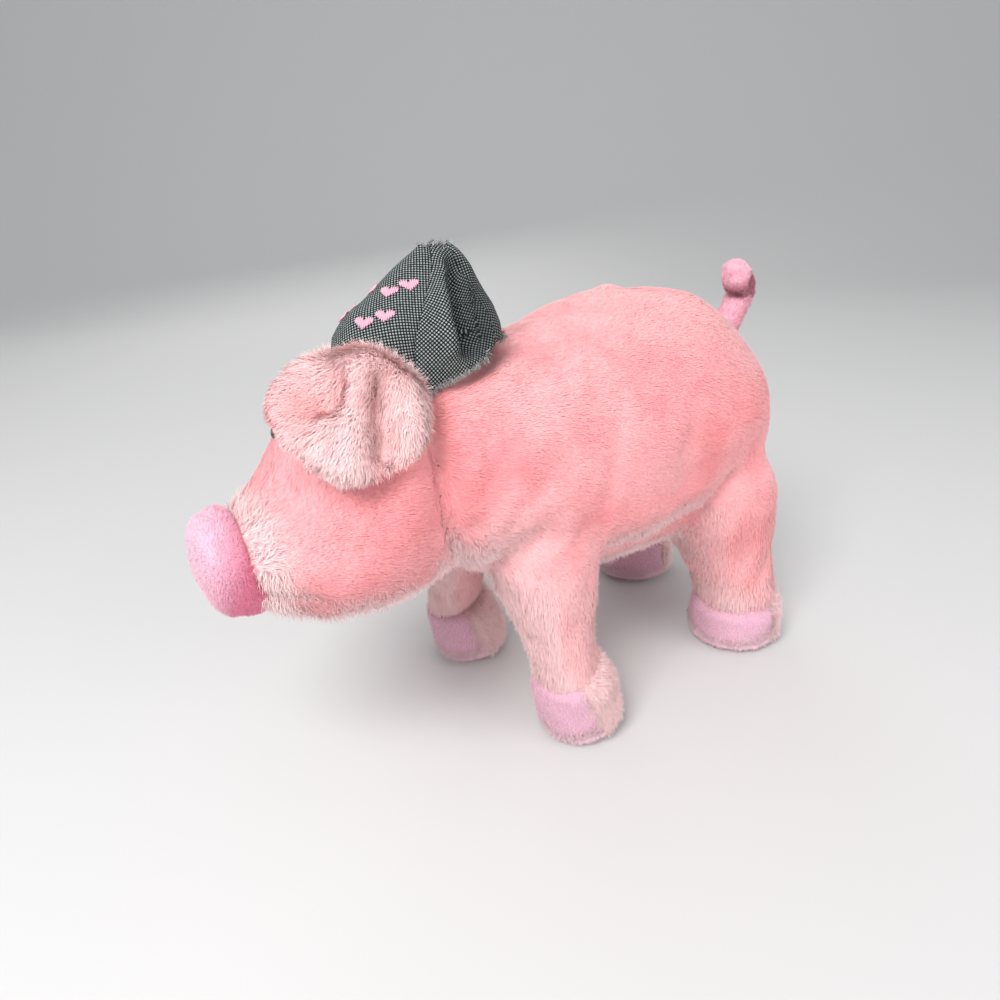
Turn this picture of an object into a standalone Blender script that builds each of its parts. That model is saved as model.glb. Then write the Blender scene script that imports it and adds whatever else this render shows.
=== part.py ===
"""Plush pig with a cloth hat, built from the pieces that a workshop would sew and stuff.

The pig faces -X, its left side is -Y and it stands on Z = 0, in metres.
Skins are shells of plush, velour or woven cloth, and a core of fibre filling sits inside each.
"""

import math

import bmesh
import bpy
from mathutils import Vector

# Cloth and fits
PLUSH_THICK = 0.0030
VELOUR_THICK = 0.0018
CLOTH_THICK = 0.0010
SEAM_GAP = 0.0003
OVERRUN = 0.0040

# Trunk: neck seam, body and head
NECK_X = -0.0576
NECK_TOP = 0.1770
NECK_BOTTOM = 0.0905
NECK_WIDTH = 0.0920
NECK_LEAN = 0.0050
NECK_BULGE = 0.0140
BODY_LENGTH = 0.2010
BODY_WIDTH = 0.1200
BACK_HEIGHT = 0.1920
BELLY_HEIGHT = 0.0615
HEAD_LENGTH = 0.0755
HEAD_WIDTH = 0.1000
CROWN_HEIGHT = 0.1850
CHIN_HEIGHT = 0.0890
GUSSET_HALF_ANGLE = math.radians(45)

# Snout
SNOUT_RADIUS = 0.0205
SNOUT_HEIGHT = 0.1200
SNOUT_BAND_LENGTH = 0.0095
SNOUT_RIM_DEPTH = 0.0030
SNOUT_DOME = 0.0040

# Eyes: a moulded dome with a shank, held inside the skin by a washer
EYE_RADIUS = 0.0045
EYE_DOME = 0.0032
EYE_SHANK_RADIUS = 0.0016
EYE_SHANK_LENGTH = 0.0090
EYE_WASHER_RADIUS = 0.0050
EYE_WASHER_THICK = 0.0012
EYE_WASHER_DEPTH = 0.0042
EYE_ALONG_share = 0.57
EYE_ANGLE = math.radians(33)

# Legs: hip inside the trunk, hoof on the floor, radii of the stuffed tube
FRONT_HIP_BEHIND_NECK = 0.0340
FRONT_FOOT_BEHIND_NECK = 0.0470
REAR_HIP_BEFORE_RUMP = 0.0540
REAR_FOOT_BEFORE_RUMP = 0.0307
FRONT_HIP = Vector((NECK_X + FRONT_HIP_BEHIND_NECK, 0.0290, 0.1150))
REAR_HIP = Vector((NECK_X + BODY_LENGTH - REAR_HIP_BEFORE_RUMP, 0.0260, 0.1150))
FRONT_FOOT_X = NECK_X + FRONT_FOOT_BEHIND_NECK
REAR_FOOT_X = NECK_X + BODY_LENGTH - REAR_FOOT_BEFORE_RUMP
FRONT_FOOT_Y = 0.0420
REAR_FOOT_Y = 0.0434
FRONT_STRIDE = 0.0030
REAR_STRIDE = -0.0054
FRONT_THIGH_RADIUS = 0.0250
REAR_THIGH_RADIUS = 0.0330
FRONT_ANKLE_RADIUS = 0.0155
REAR_ANKLE_RADIUS = 0.0225
FRONT_HOOF_RADIUS = 0.0192
REAR_HOOF_RADIUS = 0.0235
FRONT_HOOF_HEIGHT = 0.0290
REAR_HOOF_HEIGHT = 0.0240
FRONT_SOLE_TILT = math.radians(14)
REAR_SOLE_TILT = math.radians(2)
SOLE_DROP = 0.0050
FLOOR_CUT = 0.0005
HOOF_BACK_HALF_ANGLE = math.radians(60)

# Ears: a flap of two layers that hangs from its root on the crown
LEFT_EAR_ROOT = Vector((-0.0759, -0.0214, 0.1846))
LEFT_EAR_RISE = math.radians(22)
LEFT_EAR_SPLAY = math.radians(45)
LEFT_EAR_SLANT = math.radians(50)
RIGHT_EAR_ROOT = Vector((-0.0677, 0.0271, 0.1827))
RIGHT_EAR_RISE = math.radians(2)
RIGHT_EAR_SPLAY = math.radians(12)
RIGHT_EAR_SLANT = math.radians(50)
EAR_RADIUS = 0.0255
EAR_CENTRE_FORWARD = 0.0030
EAR_CENTRE_DOWN = 0.0240
EAR_ROOT_DEPTH = 0.0014
EAR_CURL_DOWN = 0.0050
EAR_CURL_ALONG = 0.0020

# Tail: a stuffed velour tube with one turn
TAIL_HEIGHT_ON_RUMP = 0.1560
TAIL_RADIUS = 0.0057
TAIL_TIP_RADIUS = 0.0055
TAIL_RISE = 0.0331
TAIL_STEM_share = 0.45
TAIL_TURN_RADIUS = 0.0062
TAIL_TURN_START = math.radians(-50)
TAIL_TURN = math.radians(350)
TAIL_LEAN = math.radians(8)

# Hat: an unlined crown of four cloth panels, sewn down on the head and nape
HAT_PEAK_X = -0.0376
HAT_FRONT_LENGTH = 0.0510
HAT_REAR_LENGTH = 0.0190
HAT_HALF_WIDTH = 0.0270
HAT_BASE_BELOW_CROWN = 0.0050
HAT_BASE_HEIGHT = CROWN_HEIGHT - HAT_BASE_BELOW_CROWN
HAT_CROWN_HEIGHT = 0.0390
HAT_SKIRT = 0.0160
HAT_FRONT_HALF_ANGLE = math.radians(55)
HAT_REAR_HALF_ANGLE = math.radians(65)

# Faces round each form
TRUNK_SIDES = 24
CORE_SIDES = 12
LEG_SIDES = 16
EAR_SIDES = 18
TAIL_SIDES = 10
TAIL_STEPS = 24
HAT_SIDES = 32
EYE_SIDES = 12

# Along the body from the neck: place, back, belly and width, then how far the neck seam still pulls.
# Back and belly are shares of the height from belly to back, and width of the widest place.
body_shares = [
    (0.094, 0.900, 0.162, 0.839, 0.60),
    (0.232, 0.920, 0.085, 0.935, 0.20),
    (0.379, 0.960, 0.028, 0.984, 0.00),
    (0.522, 1.000, 0.000, 1.000, 0.00),
    (0.680, 0.980, 0.000, 0.960, 0.00),
    (0.783, 0.925, 0.021, 0.880, 0.00),
    (0.882, 0.825, 0.070, 0.735, 0.00),
    (0.951, 0.700, 0.162, 0.560, 0.00),
    (0.988, 0.570, 0.289, 0.320, 0.00),
    (1.000, 0.450, 0.430, 0.020, 0.00),
]
# Along the head from the neck, in the same way, between chin and crown
head_shares = [
    (0.130, 0.965, 0.018, 0.950, 0.75),
    (0.290, 1.000, 0.000, 1.000, 0.30),
    (0.455, 0.920, 0.000, 0.985, 0.05),
    (0.620, 0.765, 0.000, 0.880, 0.00),
    (0.790, 0.620, 0.030, 0.720, 0.00),
    (0.920, 0.545, 0.085, 0.560, 0.00),
]
# Down a leg from hip to hoof: place, then how far the radius has gone from thigh to ankle
leg_shares = [(0.0, 0.55), (0.14, 0.14), (0.30, 0.0), (0.48, 0.32), (0.66, 0.72), (0.84, 0.96), (1.0, 1.0)]
# Down a hoof from its top seam: place, then how far the radius has gone from ankle to hoof
hoof_shares = [(0.0, 0.35), (0.3, 0.80), (0.7, 1.0), (1.0, 0.94)]
# Ear outline, in eighths of a turn from the front: radius as a share of EAR_RADIUS
ear_outline_shares = [1.06, 0.96, 0.93, 0.97, 1.00, 1.10, 0.92, 1.04]
# From the ear's middle to its rim: place, then thickness of a layer
ear_ring_shares = [(0.45, 0.97), (0.80, 0.80), (1.00, 0.30)]
# Up the hat from its seam on the head: place, then reach to the front, to the rear and to the sides
hat_shares = [
    (0.000, 1.000, 1.000, 1.000),
    (0.256, 0.940, 0.960, 0.960),
    (0.436, 0.765, 0.875, 0.860),
    (0.615, 0.530, 0.730, 0.700),
    (0.795, 0.294, 0.540, 0.500),
    (0.923, 0.127, 0.330, 0.286),
    (1.000, 0.020, 0.040, 0.036),
]
# Sole from its seam down: place, then radius
sole_shares = [(0.0, 0.94), (0.35, 0.97), (0.75, 0.86), (1.0, 0.66)]
# Snout disc from its rim to the middle of its dome: place in depth, then radius
disc_shares = [(0.0, 1.0), (0.30, 0.985), (0.62, 0.86), (0.86, 0.55)]
# Round ends of the tail, as shares of a quarter turn
tail_cap_shares = [0.0, 0.45, 0.85]
# Cap of the eye's dome from its flat back: height, then radius
eye_shares = [(0.0, 0.90), (0.30, 1.0), (0.72, 0.72), (1.0, 0.06)]

PLUSH = ("plush", (0.86, 0.40, 0.38), 0.95)
HEAD_PLUSH = ("head_plush", (0.87, 0.47, 0.45), 0.95)
PALE_PLUSH = ("pale_plush", (0.90, 0.58, 0.56), 0.95)
VELOUR = ("velour", (0.84, 0.42, 0.52), 0.85)
TAIL_VELOUR = ("tail_velour", (0.84, 0.30, 0.42), 0.85)
FILLING = ("filling", (0.92, 0.92, 0.90), 1.0)
CLOTH = ("cloth", (0.08, 0.10, 0.10), 0.8)
EYE_BLACK = ("eye_plastic", (0.02, 0.02, 0.02), 0.15)
WASHER_WHITE = ("washer_plastic", (0.85, 0.85, 0.83), 0.5)


def clear_scene():
    """Remove whatever the file holds."""
    for item in list(bpy.data.objects):
        bpy.data.objects.remove(item, do_unlink=True)


def finish(name, colour, roughness):
    """A plain Principled material of this name."""
    material = bpy.data.materials.new(name)
    material.use_nodes = True
    shader = material.node_tree.nodes["Principled BSDF"]
    shader.inputs["Base Color"].default_value = (*colour, 1)
    shader.inputs["Roughness"].default_value = roughness
    shader.inputs["Metallic"].default_value = 0
    return material


def add_object(name, bm, look, pivot=Vector()):
    """Turn a bmesh in world places into an object whose origin is at pivot."""
    bmesh.ops.recalc_face_normals(bm, faces=bm.faces)
    bmesh.ops.translate(bm, verts=bm.verts, vec=-pivot)
    mesh = bpy.data.meshes.new(name)
    bm.to_mesh(mesh)
    bm.free()
    mesh.shade_smooth()
    mesh.set_sharp_from_angle(angle=math.radians(50))
    item = bpy.data.objects.new(name, mesh)
    item.location = pivot
    if look:
        material_name, colour, roughness = look
        mesh.materials.append(finish(f"{name}_{material_name}", colour, roughness))
    bpy.context.scene.collection.objects.link(item)
    return item


def make_cutter(item):
    """Leave a solid in the file as a guide for cuts only."""
    item.hide_render = True
    item.display_type = "WIRE"
    return item


def cut(item, cutter):
    """Take the cutter's shape out of item."""
    change = item.modifiers.new(f"clear_of_{cutter.name}", "BOOLEAN")
    change.operation = "DIFFERENCE"
    change.solver = "EXACT"
    change.object = cutter


def bridge(bm, ring, other, closed=True):
    """Quads from one row of vertices to the next."""
    count = len(ring)
    for i in range(count if closed else count - 1):
        j = (i + 1) % count
        bm.faces.new((ring[i], ring[j], other[j], other[i]))


def loft(rows, looped=False):
    """A closed solid through rings of points. A loop joins last to first, and other ends get a cap."""
    bm = bmesh.new()
    rings = [[bm.verts.new(point) for point in row] for row in rows]
    for ring, other in zip(rings, rings[1:]):
        bridge(bm, ring, other)
    if looped:
        bridge(bm, rings[-1], rings[0])
        return bm
    for ring in (rings[0], rings[-1]):
        middle = bm.verts.new(sum((vert.co for vert in ring), Vector()) / len(ring))
        for i, vert in enumerate(ring):
            bm.faces.new((vert, ring[(i + 1) % len(ring)], middle))
    return bm


def shell(outer_rows, inner_rows):
    """A tube wall with both ends open."""
    return loft(outer_rows + inner_rows[::-1], looped=True)


def panel(outer_rows, inner_rows):
    """One sewn panel: a strip of wall between two seams."""
    bm = bmesh.new()
    outer = [[bm.verts.new(point) for point in row] for row in outer_rows]
    inner = [[bm.verts.new(point) for point in row] for row in inner_rows]
    for rings in (outer, inner):
        for ring, other in zip(rings, rings[1:]):
            bridge(bm, ring, other, closed=False)
    for edge in (0, -1):
        bridge(bm, outer[edge], inner[edge], closed=False)
        bridge(bm, [ring[edge] for ring in outer], [ring[edge] for ring in inner], closed=False)
    return bm


def seam_angles(start, end, steps, radius):
    """Angles across a panel, whose two edges keep half a seam gap at this radius."""
    margin = SEAM_GAP / 2 / radius
    start = start + margin
    end = end - margin
    return [start + (end - start) * i / steps for i in range(steps + 1)]


def full_turn(sides):
    return [math.tau * i / sides for i in range(sides)]


def smooth_stations(keys, steps):
    """Points of a smooth curve through the keys, with this many steps from key to key."""
    last = len(keys) - 1
    stations = []
    for i in range(last):
        before, here, after, beyond = keys[max(i - 1, 0)], keys[i], keys[i + 1], keys[min(i + 2, last)]
        for step in range(steps):
            t = step / steps
            stations.append(tuple(
                0.5 * (2 * b + (c - a) * t + (2 * a - 5 * b + 4 * c - d) * t**2
                       + (3 * b - a - 3 * c + d) * t**3)
                for a, b, c, d in zip(before, here, after, beyond)
            ))
    return stations + [tuple(keys[-1])]


def trunk_keys(shares, length, low, high, width):
    """Stations of the head or the body, in metres, from the neck outwards."""
    neck = (NECK_X, NECK_TOP, NECK_BOTTOM, NECK_WIDTH / 2, 1.0)
    return [neck] + [
        (NECK_X + along * length, low + top * (high - low), low + bottom * (high - low), wide * width / 2, pull)
        for along, top, bottom, wide, pull in shares
    ]


def body_keys():
    return trunk_keys(body_shares, BODY_LENGTH, BELLY_HEIGHT, BACK_HEIGHT, BODY_WIDTH)


def head_keys():
    """Head stations, ending in the ring that the snout band is sewn to."""
    snout = (
        NECK_X - HEAD_LENGTH, SNOUT_HEIGHT + SNOUT_RADIUS, SNOUT_HEIGHT - SNOUT_RADIUS, SNOUT_RADIUS, 0.0,
    )
    return trunk_keys(head_shares, -HEAD_LENGTH, CHIN_HEIGHT, CROWN_HEIGHT, HEAD_WIDTH) + [snout]


def trunk_point(station, angle, inset):
    """A point of the trunk's skin, at this angle from the back towards the left, inset into it."""
    x, top, bottom, half_width, pull = station
    half_height = (top - bottom) / 2
    half_height = max(half_height - inset, half_height / 3)
    half_width = max(half_width - inset, half_width / 3)
    seam = pull * (NECK_BULGE * math.sin(angle) ** 2 + NECK_LEAN * math.cos(angle))
    return Vector((
        x - seam,
        -half_width * math.sin(angle),
        (top + bottom) / 2 + half_height * math.cos(angle),
    ))


def trunk_rows(keys, steps, inset, sides, arc=None):
    """Rings of trunk points, or the arc (start, end) of them. The far end also moves in by the inset."""
    length = keys[-1][0] - keys[0][0]
    squeeze = (abs(length) - inset) / abs(length)
    rows = []
    for station in smooth_stations(keys, steps):
        x = keys[0][0] + (station[0] - keys[0][0]) * squeeze
        angles = seam_angles(*arc, sides, station[3]) if arc else full_turn(sides)
        rows.append([trunk_point((x, *station[1:]), angle, inset) for angle in angles])
    return rows


def make_trunk_cutter():
    """The whole trunk, one seam gap larger, which trims what is sewn on to it."""
    head = trunk_rows(head_keys(), 2, -SEAM_GAP, TRUNK_SIDES)
    body = trunk_rows(body_keys(), 2, -SEAM_GAP, TRUNK_SIDES)
    return make_cutter(add_object("trunk_cutter", loft(head[::-1] + body[1:]), None))


def make_body():
    """Two side panels, the gusset under the belly and the filling."""
    low_angle = math.pi - GUSSET_HALF_ANGLE
    side_steps = round(TRUNK_SIDES * low_angle / math.tau)
    gusset_steps = TRUNK_SIDES - 2 * side_steps
    plans = [
        ("body_side_left", (0, low_angle), side_steps),
        ("belly_gusset", (low_angle, math.tau - low_angle), gusset_steps),
        ("body_side_right", (math.tau - low_angle, math.tau), side_steps),
    ]
    for name, arc, steps in plans:
        outer = trunk_rows(body_keys(), 2, 0, steps, arc)
        inner = trunk_rows(body_keys(), 2, PLUSH_THICK, steps, arc)
        add_object(name, panel(outer, inner), PLUSH)
    core = trunk_rows(body_keys(), 1, PLUSH_THICK + 2 * SEAM_GAP, CORE_SIDES)
    add_object("body_stuffing", loft(core), FILLING)


def eye_place(side):
    """Where the eye's axis meets the head, and the way out, on side -1 (left) or 1 (right)."""
    keys = head_keys()
    stations = smooth_stations(keys, 8)
    index = round(EYE_ALONG_share * (len(stations) - 1))
    angle = -side * EYE_ANGLE
    point = trunk_point(stations[index], angle, 0)
    along = trunk_point(stations[index + 1], angle, 0) - trunk_point(stations[index - 1], angle, 0)
    nudge = math.radians(2)
    around = trunk_point(stations[index], angle + nudge, 0) - trunk_point(stations[index], angle - nudge, 0)
    out = along.cross(around).normalized()
    if out.z < 0:
        out.negate()
    return point, out


def turned(profile, sides, place, axis):
    """A solid turned about axis from (height, radius) points, closed by points on the axis."""
    turn = axis.to_track_quat("Z", "Y").to_matrix()
    rows = []
    for height, radius in profile:
        rows.append([
            place + turn @ Vector((
                radius * math.cos(math.tau * i / sides), radius * math.sin(math.tau * i / sides), height,
            ))
            for i in range(sides)
        ])
    return rows


def make_eye(side, word):
    """The eye, its washer, and the cutters for the hole and the pocket. Returns the cutters."""
    place, out = eye_place(side)
    dome = [(SEAM_GAP + EYE_DOME * up, EYE_RADIUS * wide) for up, wide in eye_shares]
    shank = [(-EYE_SHANK_LENGTH, EYE_SHANK_RADIUS), (SEAM_GAP, EYE_SHANK_RADIUS)]
    add_object(f"eye_{word}", loft(turned(shank + dome, EYE_SIDES, place, out)), EYE_BLACK)
    bore = EYE_SHANK_RADIUS + SEAM_GAP
    top = -EYE_WASHER_DEPTH
    base = top - EYE_WASHER_THICK
    outer = turned([(base, EYE_WASHER_RADIUS), (top, EYE_WASHER_RADIUS)], EYE_SIDES, place, out)
    inner = turned([(base, bore), (top, bore)], EYE_SIDES, place, out)
    add_object(f"eye_washer_{word}", shell(outer, inner), WASHER_WHITE)
    hole = turned([(-EYE_SHANK_LENGTH, bore), (OVERRUN, bore)], EYE_SIDES, place, out)
    pocket_radius = EYE_WASHER_RADIUS + SEAM_GAP
    pocket_depth = EYE_SHANK_LENGTH + SEAM_GAP
    pocket = turned([(-pocket_depth, pocket_radius), (OVERRUN, pocket_radius)], EYE_SIDES, place, out)
    return (
        make_cutter(add_object(f"eye_hole_{word}", loft(hole), None)),
        make_cutter(add_object(f"eye_pocket_{word}", loft(pocket), None)),
    )


def make_head():
    """Two side panels of the head, the eyes in them, and the filling that reaches into the snout."""
    half = TRUNK_SIDES // 2
    back = Vector((-SEAM_GAP, 0, 0))
    sides = {}
    for word, arc in (("left", (0, math.pi)), ("right", (math.pi, math.tau))):
        walls = [trunk_rows(head_keys(), 2, inset, half, arc) for inset in (0, PLUSH_THICK)]
        outer, inner = [[[point + back for point in row] for row in wall] for wall in walls]
        sides[word] = add_object(f"head_side_{word}", panel(outer, inner), HEAD_PLUSH)
    rows = trunk_rows(head_keys(), 2, PLUSH_THICK + 2 * SEAM_GAP, CORE_SIDES)
    snout_rows = [
        [snout_point(depth, radius, math.tau * i / CORE_SIDES) for i in range(CORE_SIDES)]
        for depth, radius in (
            (SEAM_GAP, SNOUT_RADIUS - PLUSH_THICK - 2 * SEAM_GAP),
            (SNOUT_BAND_LENGTH, SNOUT_RADIUS - PLUSH_THICK - 2 * SEAM_GAP),
        )
    ]
    rows = [[point + back for point in row] for row in rows] + snout_rows
    core = add_object("head_stuffing", loft(rows), FILLING)
    for side, word in ((-1, "left"), (1, "right")):
        hole, pocket = make_eye(side, word)
        cut(sides[word], hole)
        cut(core, pocket)


def snout_point(depth, radius, angle):
    """A point of the snout, depth ahead of the head's front seam."""
    x = NECK_X - HEAD_LENGTH - SEAM_GAP - depth
    return Vector((x, -radius * math.sin(angle), SNOUT_HEIGHT + radius * math.cos(angle)))


def make_snout():
    """A velour band round the snout and the domed disc that closes it."""
    def ring(depth, radius):
        return [snout_point(depth, radius, math.tau * i / TRUNK_SIDES) for i in range(TRUNK_SIDES)]

    band_inner = SNOUT_RADIUS - VELOUR_THICK
    outer = [ring(SEAM_GAP, SNOUT_RADIUS), ring(SNOUT_BAND_LENGTH, SNOUT_RADIUS)]
    inner = [ring(SEAM_GAP, band_inner), ring(SNOUT_BAND_LENGTH, band_inner)]
    add_object("snout_band", shell(outer, inner), VELOUR)
    start = SNOUT_BAND_LENGTH + SEAM_GAP
    depth = SNOUT_RIM_DEPTH + SNOUT_DOME
    front = [ring(start + depth * place, SNOUT_RADIUS * radius) for place, radius in disc_shares]
    add_object("snout_disc", loft(front), VELOUR)


def make_leg(word, hip, foot, radii, hoof_height, tilt, trunk):
    """Plush sleeve, filling, velour and plush parts of the hoof, and the sole of one leg."""
    thigh, ankle, hoof = radii
    sole_low = hoof * sole_shares[-1][1]
    seam_height = SOLE_DROP * math.cos(tilt) + sole_low * math.sin(tilt) - FLOOR_CUT
    sole_seam = Vector((foot.x, foot.y, seam_height))
    up = Vector((-math.sin(tilt), 0, math.cos(tilt)))
    hoof_top = sole_seam + up * hoof_height
    turn_per_side = math.tau / LEG_SIDES

    def ring(centre, radius, lean, angles):
        fore = Vector((math.cos(lean), 0, math.sin(lean)))
        side = Vector((0, 1, 0))
        return [centre + radius * (math.cos(a) * fore + math.sin(a) * side) for a in angles]

    def sleeve_rows(inset, angles):
        return [
            ring(hip.lerp(hoof_top, place), thigh + (ankle - thigh) * blend - inset, tilt * place, angles)
            for place, blend in leg_shares
        ]

    def hoof_rows(inset, angles, start, end):
        rows = []
        for place, blend in hoof_shares:
            centre = (hoof_top - up * start).lerp(sole_seam + up * end, place)
            rows.append(ring(centre, ankle + (hoof - ankle) * blend - inset, tilt, angles))
        return rows

    around = full_turn(LEG_SIDES)
    sleeve = add_object(
        f"leg_sleeve_{word}", shell(sleeve_rows(0, around), sleeve_rows(PLUSH_THICK, around)), PLUSH
    )
    cut(sleeve, trunk)

    core_around = around[::2]
    inset = PLUSH_THICK + 2 * SEAM_GAP
    core_rows = sleeve_rows(inset, core_around) + hoof_rows(inset, core_around, SEAM_GAP, SEAM_GAP)
    core = add_object(f"leg_stuffing_{word}", loft(core_rows), FILLING)
    cut(core, trunk)

    back_steps = round(HOOF_BACK_HALF_ANGLE / turn_per_side)
    for name, first, last, look in (
        ("hoof_back", -back_steps, back_steps, PALE_PLUSH),
        ("hoof_front", back_steps, LEG_SIDES - back_steps, VELOUR),
    ):
        arc = seam_angles(first * turn_per_side, last * turn_per_side, last - first, ankle)
        outer = hoof_rows(0, arc, SEAM_GAP, 0)
        inner = hoof_rows(PLUSH_THICK, arc, SEAM_GAP, 0)
        add_object(f"{name}_{word}", panel(outer, inner), look)

    sole_rows = [
        ring(sole_seam - up * (SEAM_GAP + (SOLE_DROP - SEAM_GAP) * place), hoof * wide, tilt, around)
        for place, wide in sole_shares
    ]
    bm = loft(sole_rows)
    geometry = bm.verts[:] + bm.edges[:] + bm.faces[:]
    bmesh.ops.bisect_plane(bm, geom=geometry, plane_co=Vector(), plane_no=Vector((0, 0, 1)), clear_inner=True)
    bmesh.ops.holes_fill(bm, edges=[edge for edge in bm.edges if edge.is_boundary])
    add_object(f"hoof_sole_{word}", bm, PALE_PLUSH)


def make_legs(trunk):
    """Front and rear legs, left and right, with the stride that they stand in."""
    front_radii = (FRONT_THIGH_RADIUS, FRONT_ANKLE_RADIUS, FRONT_HOOF_RADIUS)
    rear_radii = (REAR_THIGH_RADIUS, REAR_ANKLE_RADIUS, REAR_HOOF_RADIUS)
    for word, side in (("left", -1), ("right", 1)):
        hip = Vector((FRONT_HIP.x, side * FRONT_HIP.y, FRONT_HIP.z))
        foot = Vector((FRONT_FOOT_X - side * FRONT_STRIDE, side * FRONT_FOOT_Y, 0))
        make_leg(f"front_{word}", hip, foot, front_radii, FRONT_HOOF_HEIGHT, FRONT_SOLE_TILT, trunk)
        hip = Vector((REAR_HIP.x, side * REAR_HIP.y, REAR_HIP.z))
        foot = Vector((REAR_FOOT_X - side * REAR_STRIDE, side * REAR_FOOT_Y, 0))
        make_leg(f"rear_{word}", hip, foot, rear_radii, REAR_HOOF_HEIGHT, REAR_SOLE_TILT, trunk)


def ear_frame(side):
    """Root point of an ear and its ways: along the root, down the flap and out of it."""
    if side < 0:
        root, rise, splay, slant = LEFT_EAR_ROOT, LEFT_EAR_RISE, LEFT_EAR_SPLAY, LEFT_EAR_SLANT
    else:
        root, rise, splay, slant = RIGHT_EAR_ROOT, RIGHT_EAR_RISE, RIGHT_EAR_SPLAY, RIGHT_EAR_SLANT
    along = Vector((
        -math.cos(rise) * math.cos(splay), -side * math.cos(rise) * math.sin(splay), math.sin(rise),
    ))
    out = Vector((0, side * math.cos(slant), math.sin(slant)))
    out = (out - out.dot(along) * along).normalized()
    down = along.cross(out) * side
    return root, along, down, out


def ear_radius(angle):
    """Outline of the flap, smooth through its shares."""
    count = len(ear_outline_shares)
    place = angle / math.tau * count
    index = math.floor(place)
    t = place - index
    t = t * t * (3 - 2 * t)
    here = ear_outline_shares[index % count]
    after = ear_outline_shares[(index + 1) % count]
    return EAR_RADIUS * (here + (after - here) * t)


def ear_layer(side, above):
    """One layer of the flap: above its middle surface (1) or below it (-1)."""
    root, along, down, out = ear_frame(side)

    def point(share, angle, lift):
        u = EAR_CENTRE_FORWARD + share * ear_radius(angle) * math.cos(angle)
        v = EAR_CENTRE_DOWN + share * ear_radius(angle) * math.sin(angle)
        bend = EAR_CURL_DOWN * (v / (2 * EAR_RADIUS)) ** 2 + EAR_CURL_ALONG * (u / EAR_RADIUS) ** 2
        return root + along * u + down * v + out * (lift - EAR_ROOT_DEPTH - bend)

    near, far = [], []
    for share, thick in ear_ring_shares:
        angles = [math.tau * i / EAR_SIDES for i in range(EAR_SIDES)]
        near.append([point(share, angle, above * SEAM_GAP / 2) for angle in angles])
        lift = above * (SEAM_GAP / 2 + PLUSH_THICK * thick)
        far.append([point(share, angle, lift) for angle in angles])
    return loft(far + near[::-1]), root


def make_ears(trunk, hat):
    """Outer plush and lining of both ears, each with its origin on the root that it folds at."""
    for word, side in (("left", -1), ("right", 1)):
        for name, above in (("ear_outer", 1), ("ear_lining", -1)):
            bm, root = ear_layer(side, above)
            layer = add_object(f"{name}_{word}", bm, PALE_PLUSH, root)
            cut(layer, trunk)
            cut(layer, hat)


def tail_base():
    """Middle of the tail's round lower end, just off the rump, and the tail's upright."""
    stations = smooth_stations(body_keys(), 8)
    tops = [station for station in stations if station[0] > NECK_X + BODY_LENGTH / 2]
    index = min(range(1, len(tops) - 1), key=lambda i: abs(tops[i][1] - TAIL_HEIGHT_ON_RUMP))
    here, before = tops[index], tops[index - 1]
    slope = Vector((here[0] - before[0], 0, here[1] - before[1])).normalized()
    out = Vector((-slope.z, 0, slope.x))
    return Vector((here[0], 0, here[1])) + out * (TAIL_RADIUS + SEAM_GAP)


def tail_centre(t):
    """The tail's middle line: a short stem, then one turn to the far side and back over itself."""
    grow = min(t / TAIL_STEM_share, 1)
    grow = grow * grow * (3 - 2 * grow)
    angle = TAIL_TURN_START + TAIL_TURN * max(t - TAIL_STEM_share, 0) / (1 - TAIL_STEM_share)
    across = Vector((math.cos(TAIL_LEAN), 0, -math.sin(TAIL_LEAN)))
    upright = Vector((math.sin(TAIL_LEAN), 0, math.cos(TAIL_LEAN)))
    swing = across * math.cos(angle) + Vector((0, math.sin(angle), 0))
    return tail_base() + upright * TAIL_RISE * t + swing * TAIL_TURN_RADIUS * grow


def tail_rows(inset, steps, sides):
    """Rings along the tail, rounded at both ends."""
    centres = [tail_centre(i / steps) for i in range(steps + 1)]
    bends = [math.pi / 2 * share for share in tail_cap_shares]
    across = Vector((0, 1, 0))
    rows = []
    for i, centre in enumerate(centres):
        along = (centres[min(i + 1, steps)] - centres[max(i - 1, 0)]).normalized()
        across = (across - across.dot(along) * along).normalized()
        other = along.cross(across)
        radius = TAIL_RADIUS + (TAIL_TIP_RADIUS - TAIL_RADIUS) * i / steps - inset
        ends = [(0.0, 1.0)]
        if i == 0:
            ends = [(-math.sin(bend), math.cos(bend)) for bend in bends[::-1]]
        if i == steps:
            ends = [(math.sin(bend), math.cos(bend)) for bend in bends]
        for push, wide in ends:
            rows.append([
                centre + radius * (along * push + wide * (math.cos(a) * across + math.sin(a) * other))
                for a in full_turn(sides)
            ])
    return rows


def tail_least_gap(steps):
    """Least space between two stretches of the tail that are not neighbours."""
    centres = [tail_centre(i / steps) for i in range(steps + 1)]
    step_length = sum((b - a).length for a, b in zip(centres, centres[1:])) / steps
    apart = math.ceil(math.pi * TAIL_RADIUS / step_length)
    least = min(
        (centres[i] - centres[j]).length for i in range(steps + 1) for j in range(i + apart, steps + 1)
    )
    return least - 2 * TAIL_RADIUS


def make_tail():
    """Velour tube and filling of the tail, with their origin at the round end that it bends on."""
    pivot = tail_base()
    outer = tail_rows(0, TAIL_STEPS, TAIL_SIDES)
    inner = tail_rows(VELOUR_THICK, TAIL_STEPS, TAIL_SIDES)
    add_object("tail_skin", loft(inner[::-1] + outer), TAIL_VELOUR, pivot)
    core = tail_rows(VELOUR_THICK + 2 * SEAM_GAP, TAIL_STEPS, TAIL_SIDES // 2)
    add_object("tail_stuffing", loft(core), FILLING, pivot)
    print(f"tail: least gap to itself {1000 * tail_least_gap(TAIL_STEPS):.2f} mm")


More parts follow.
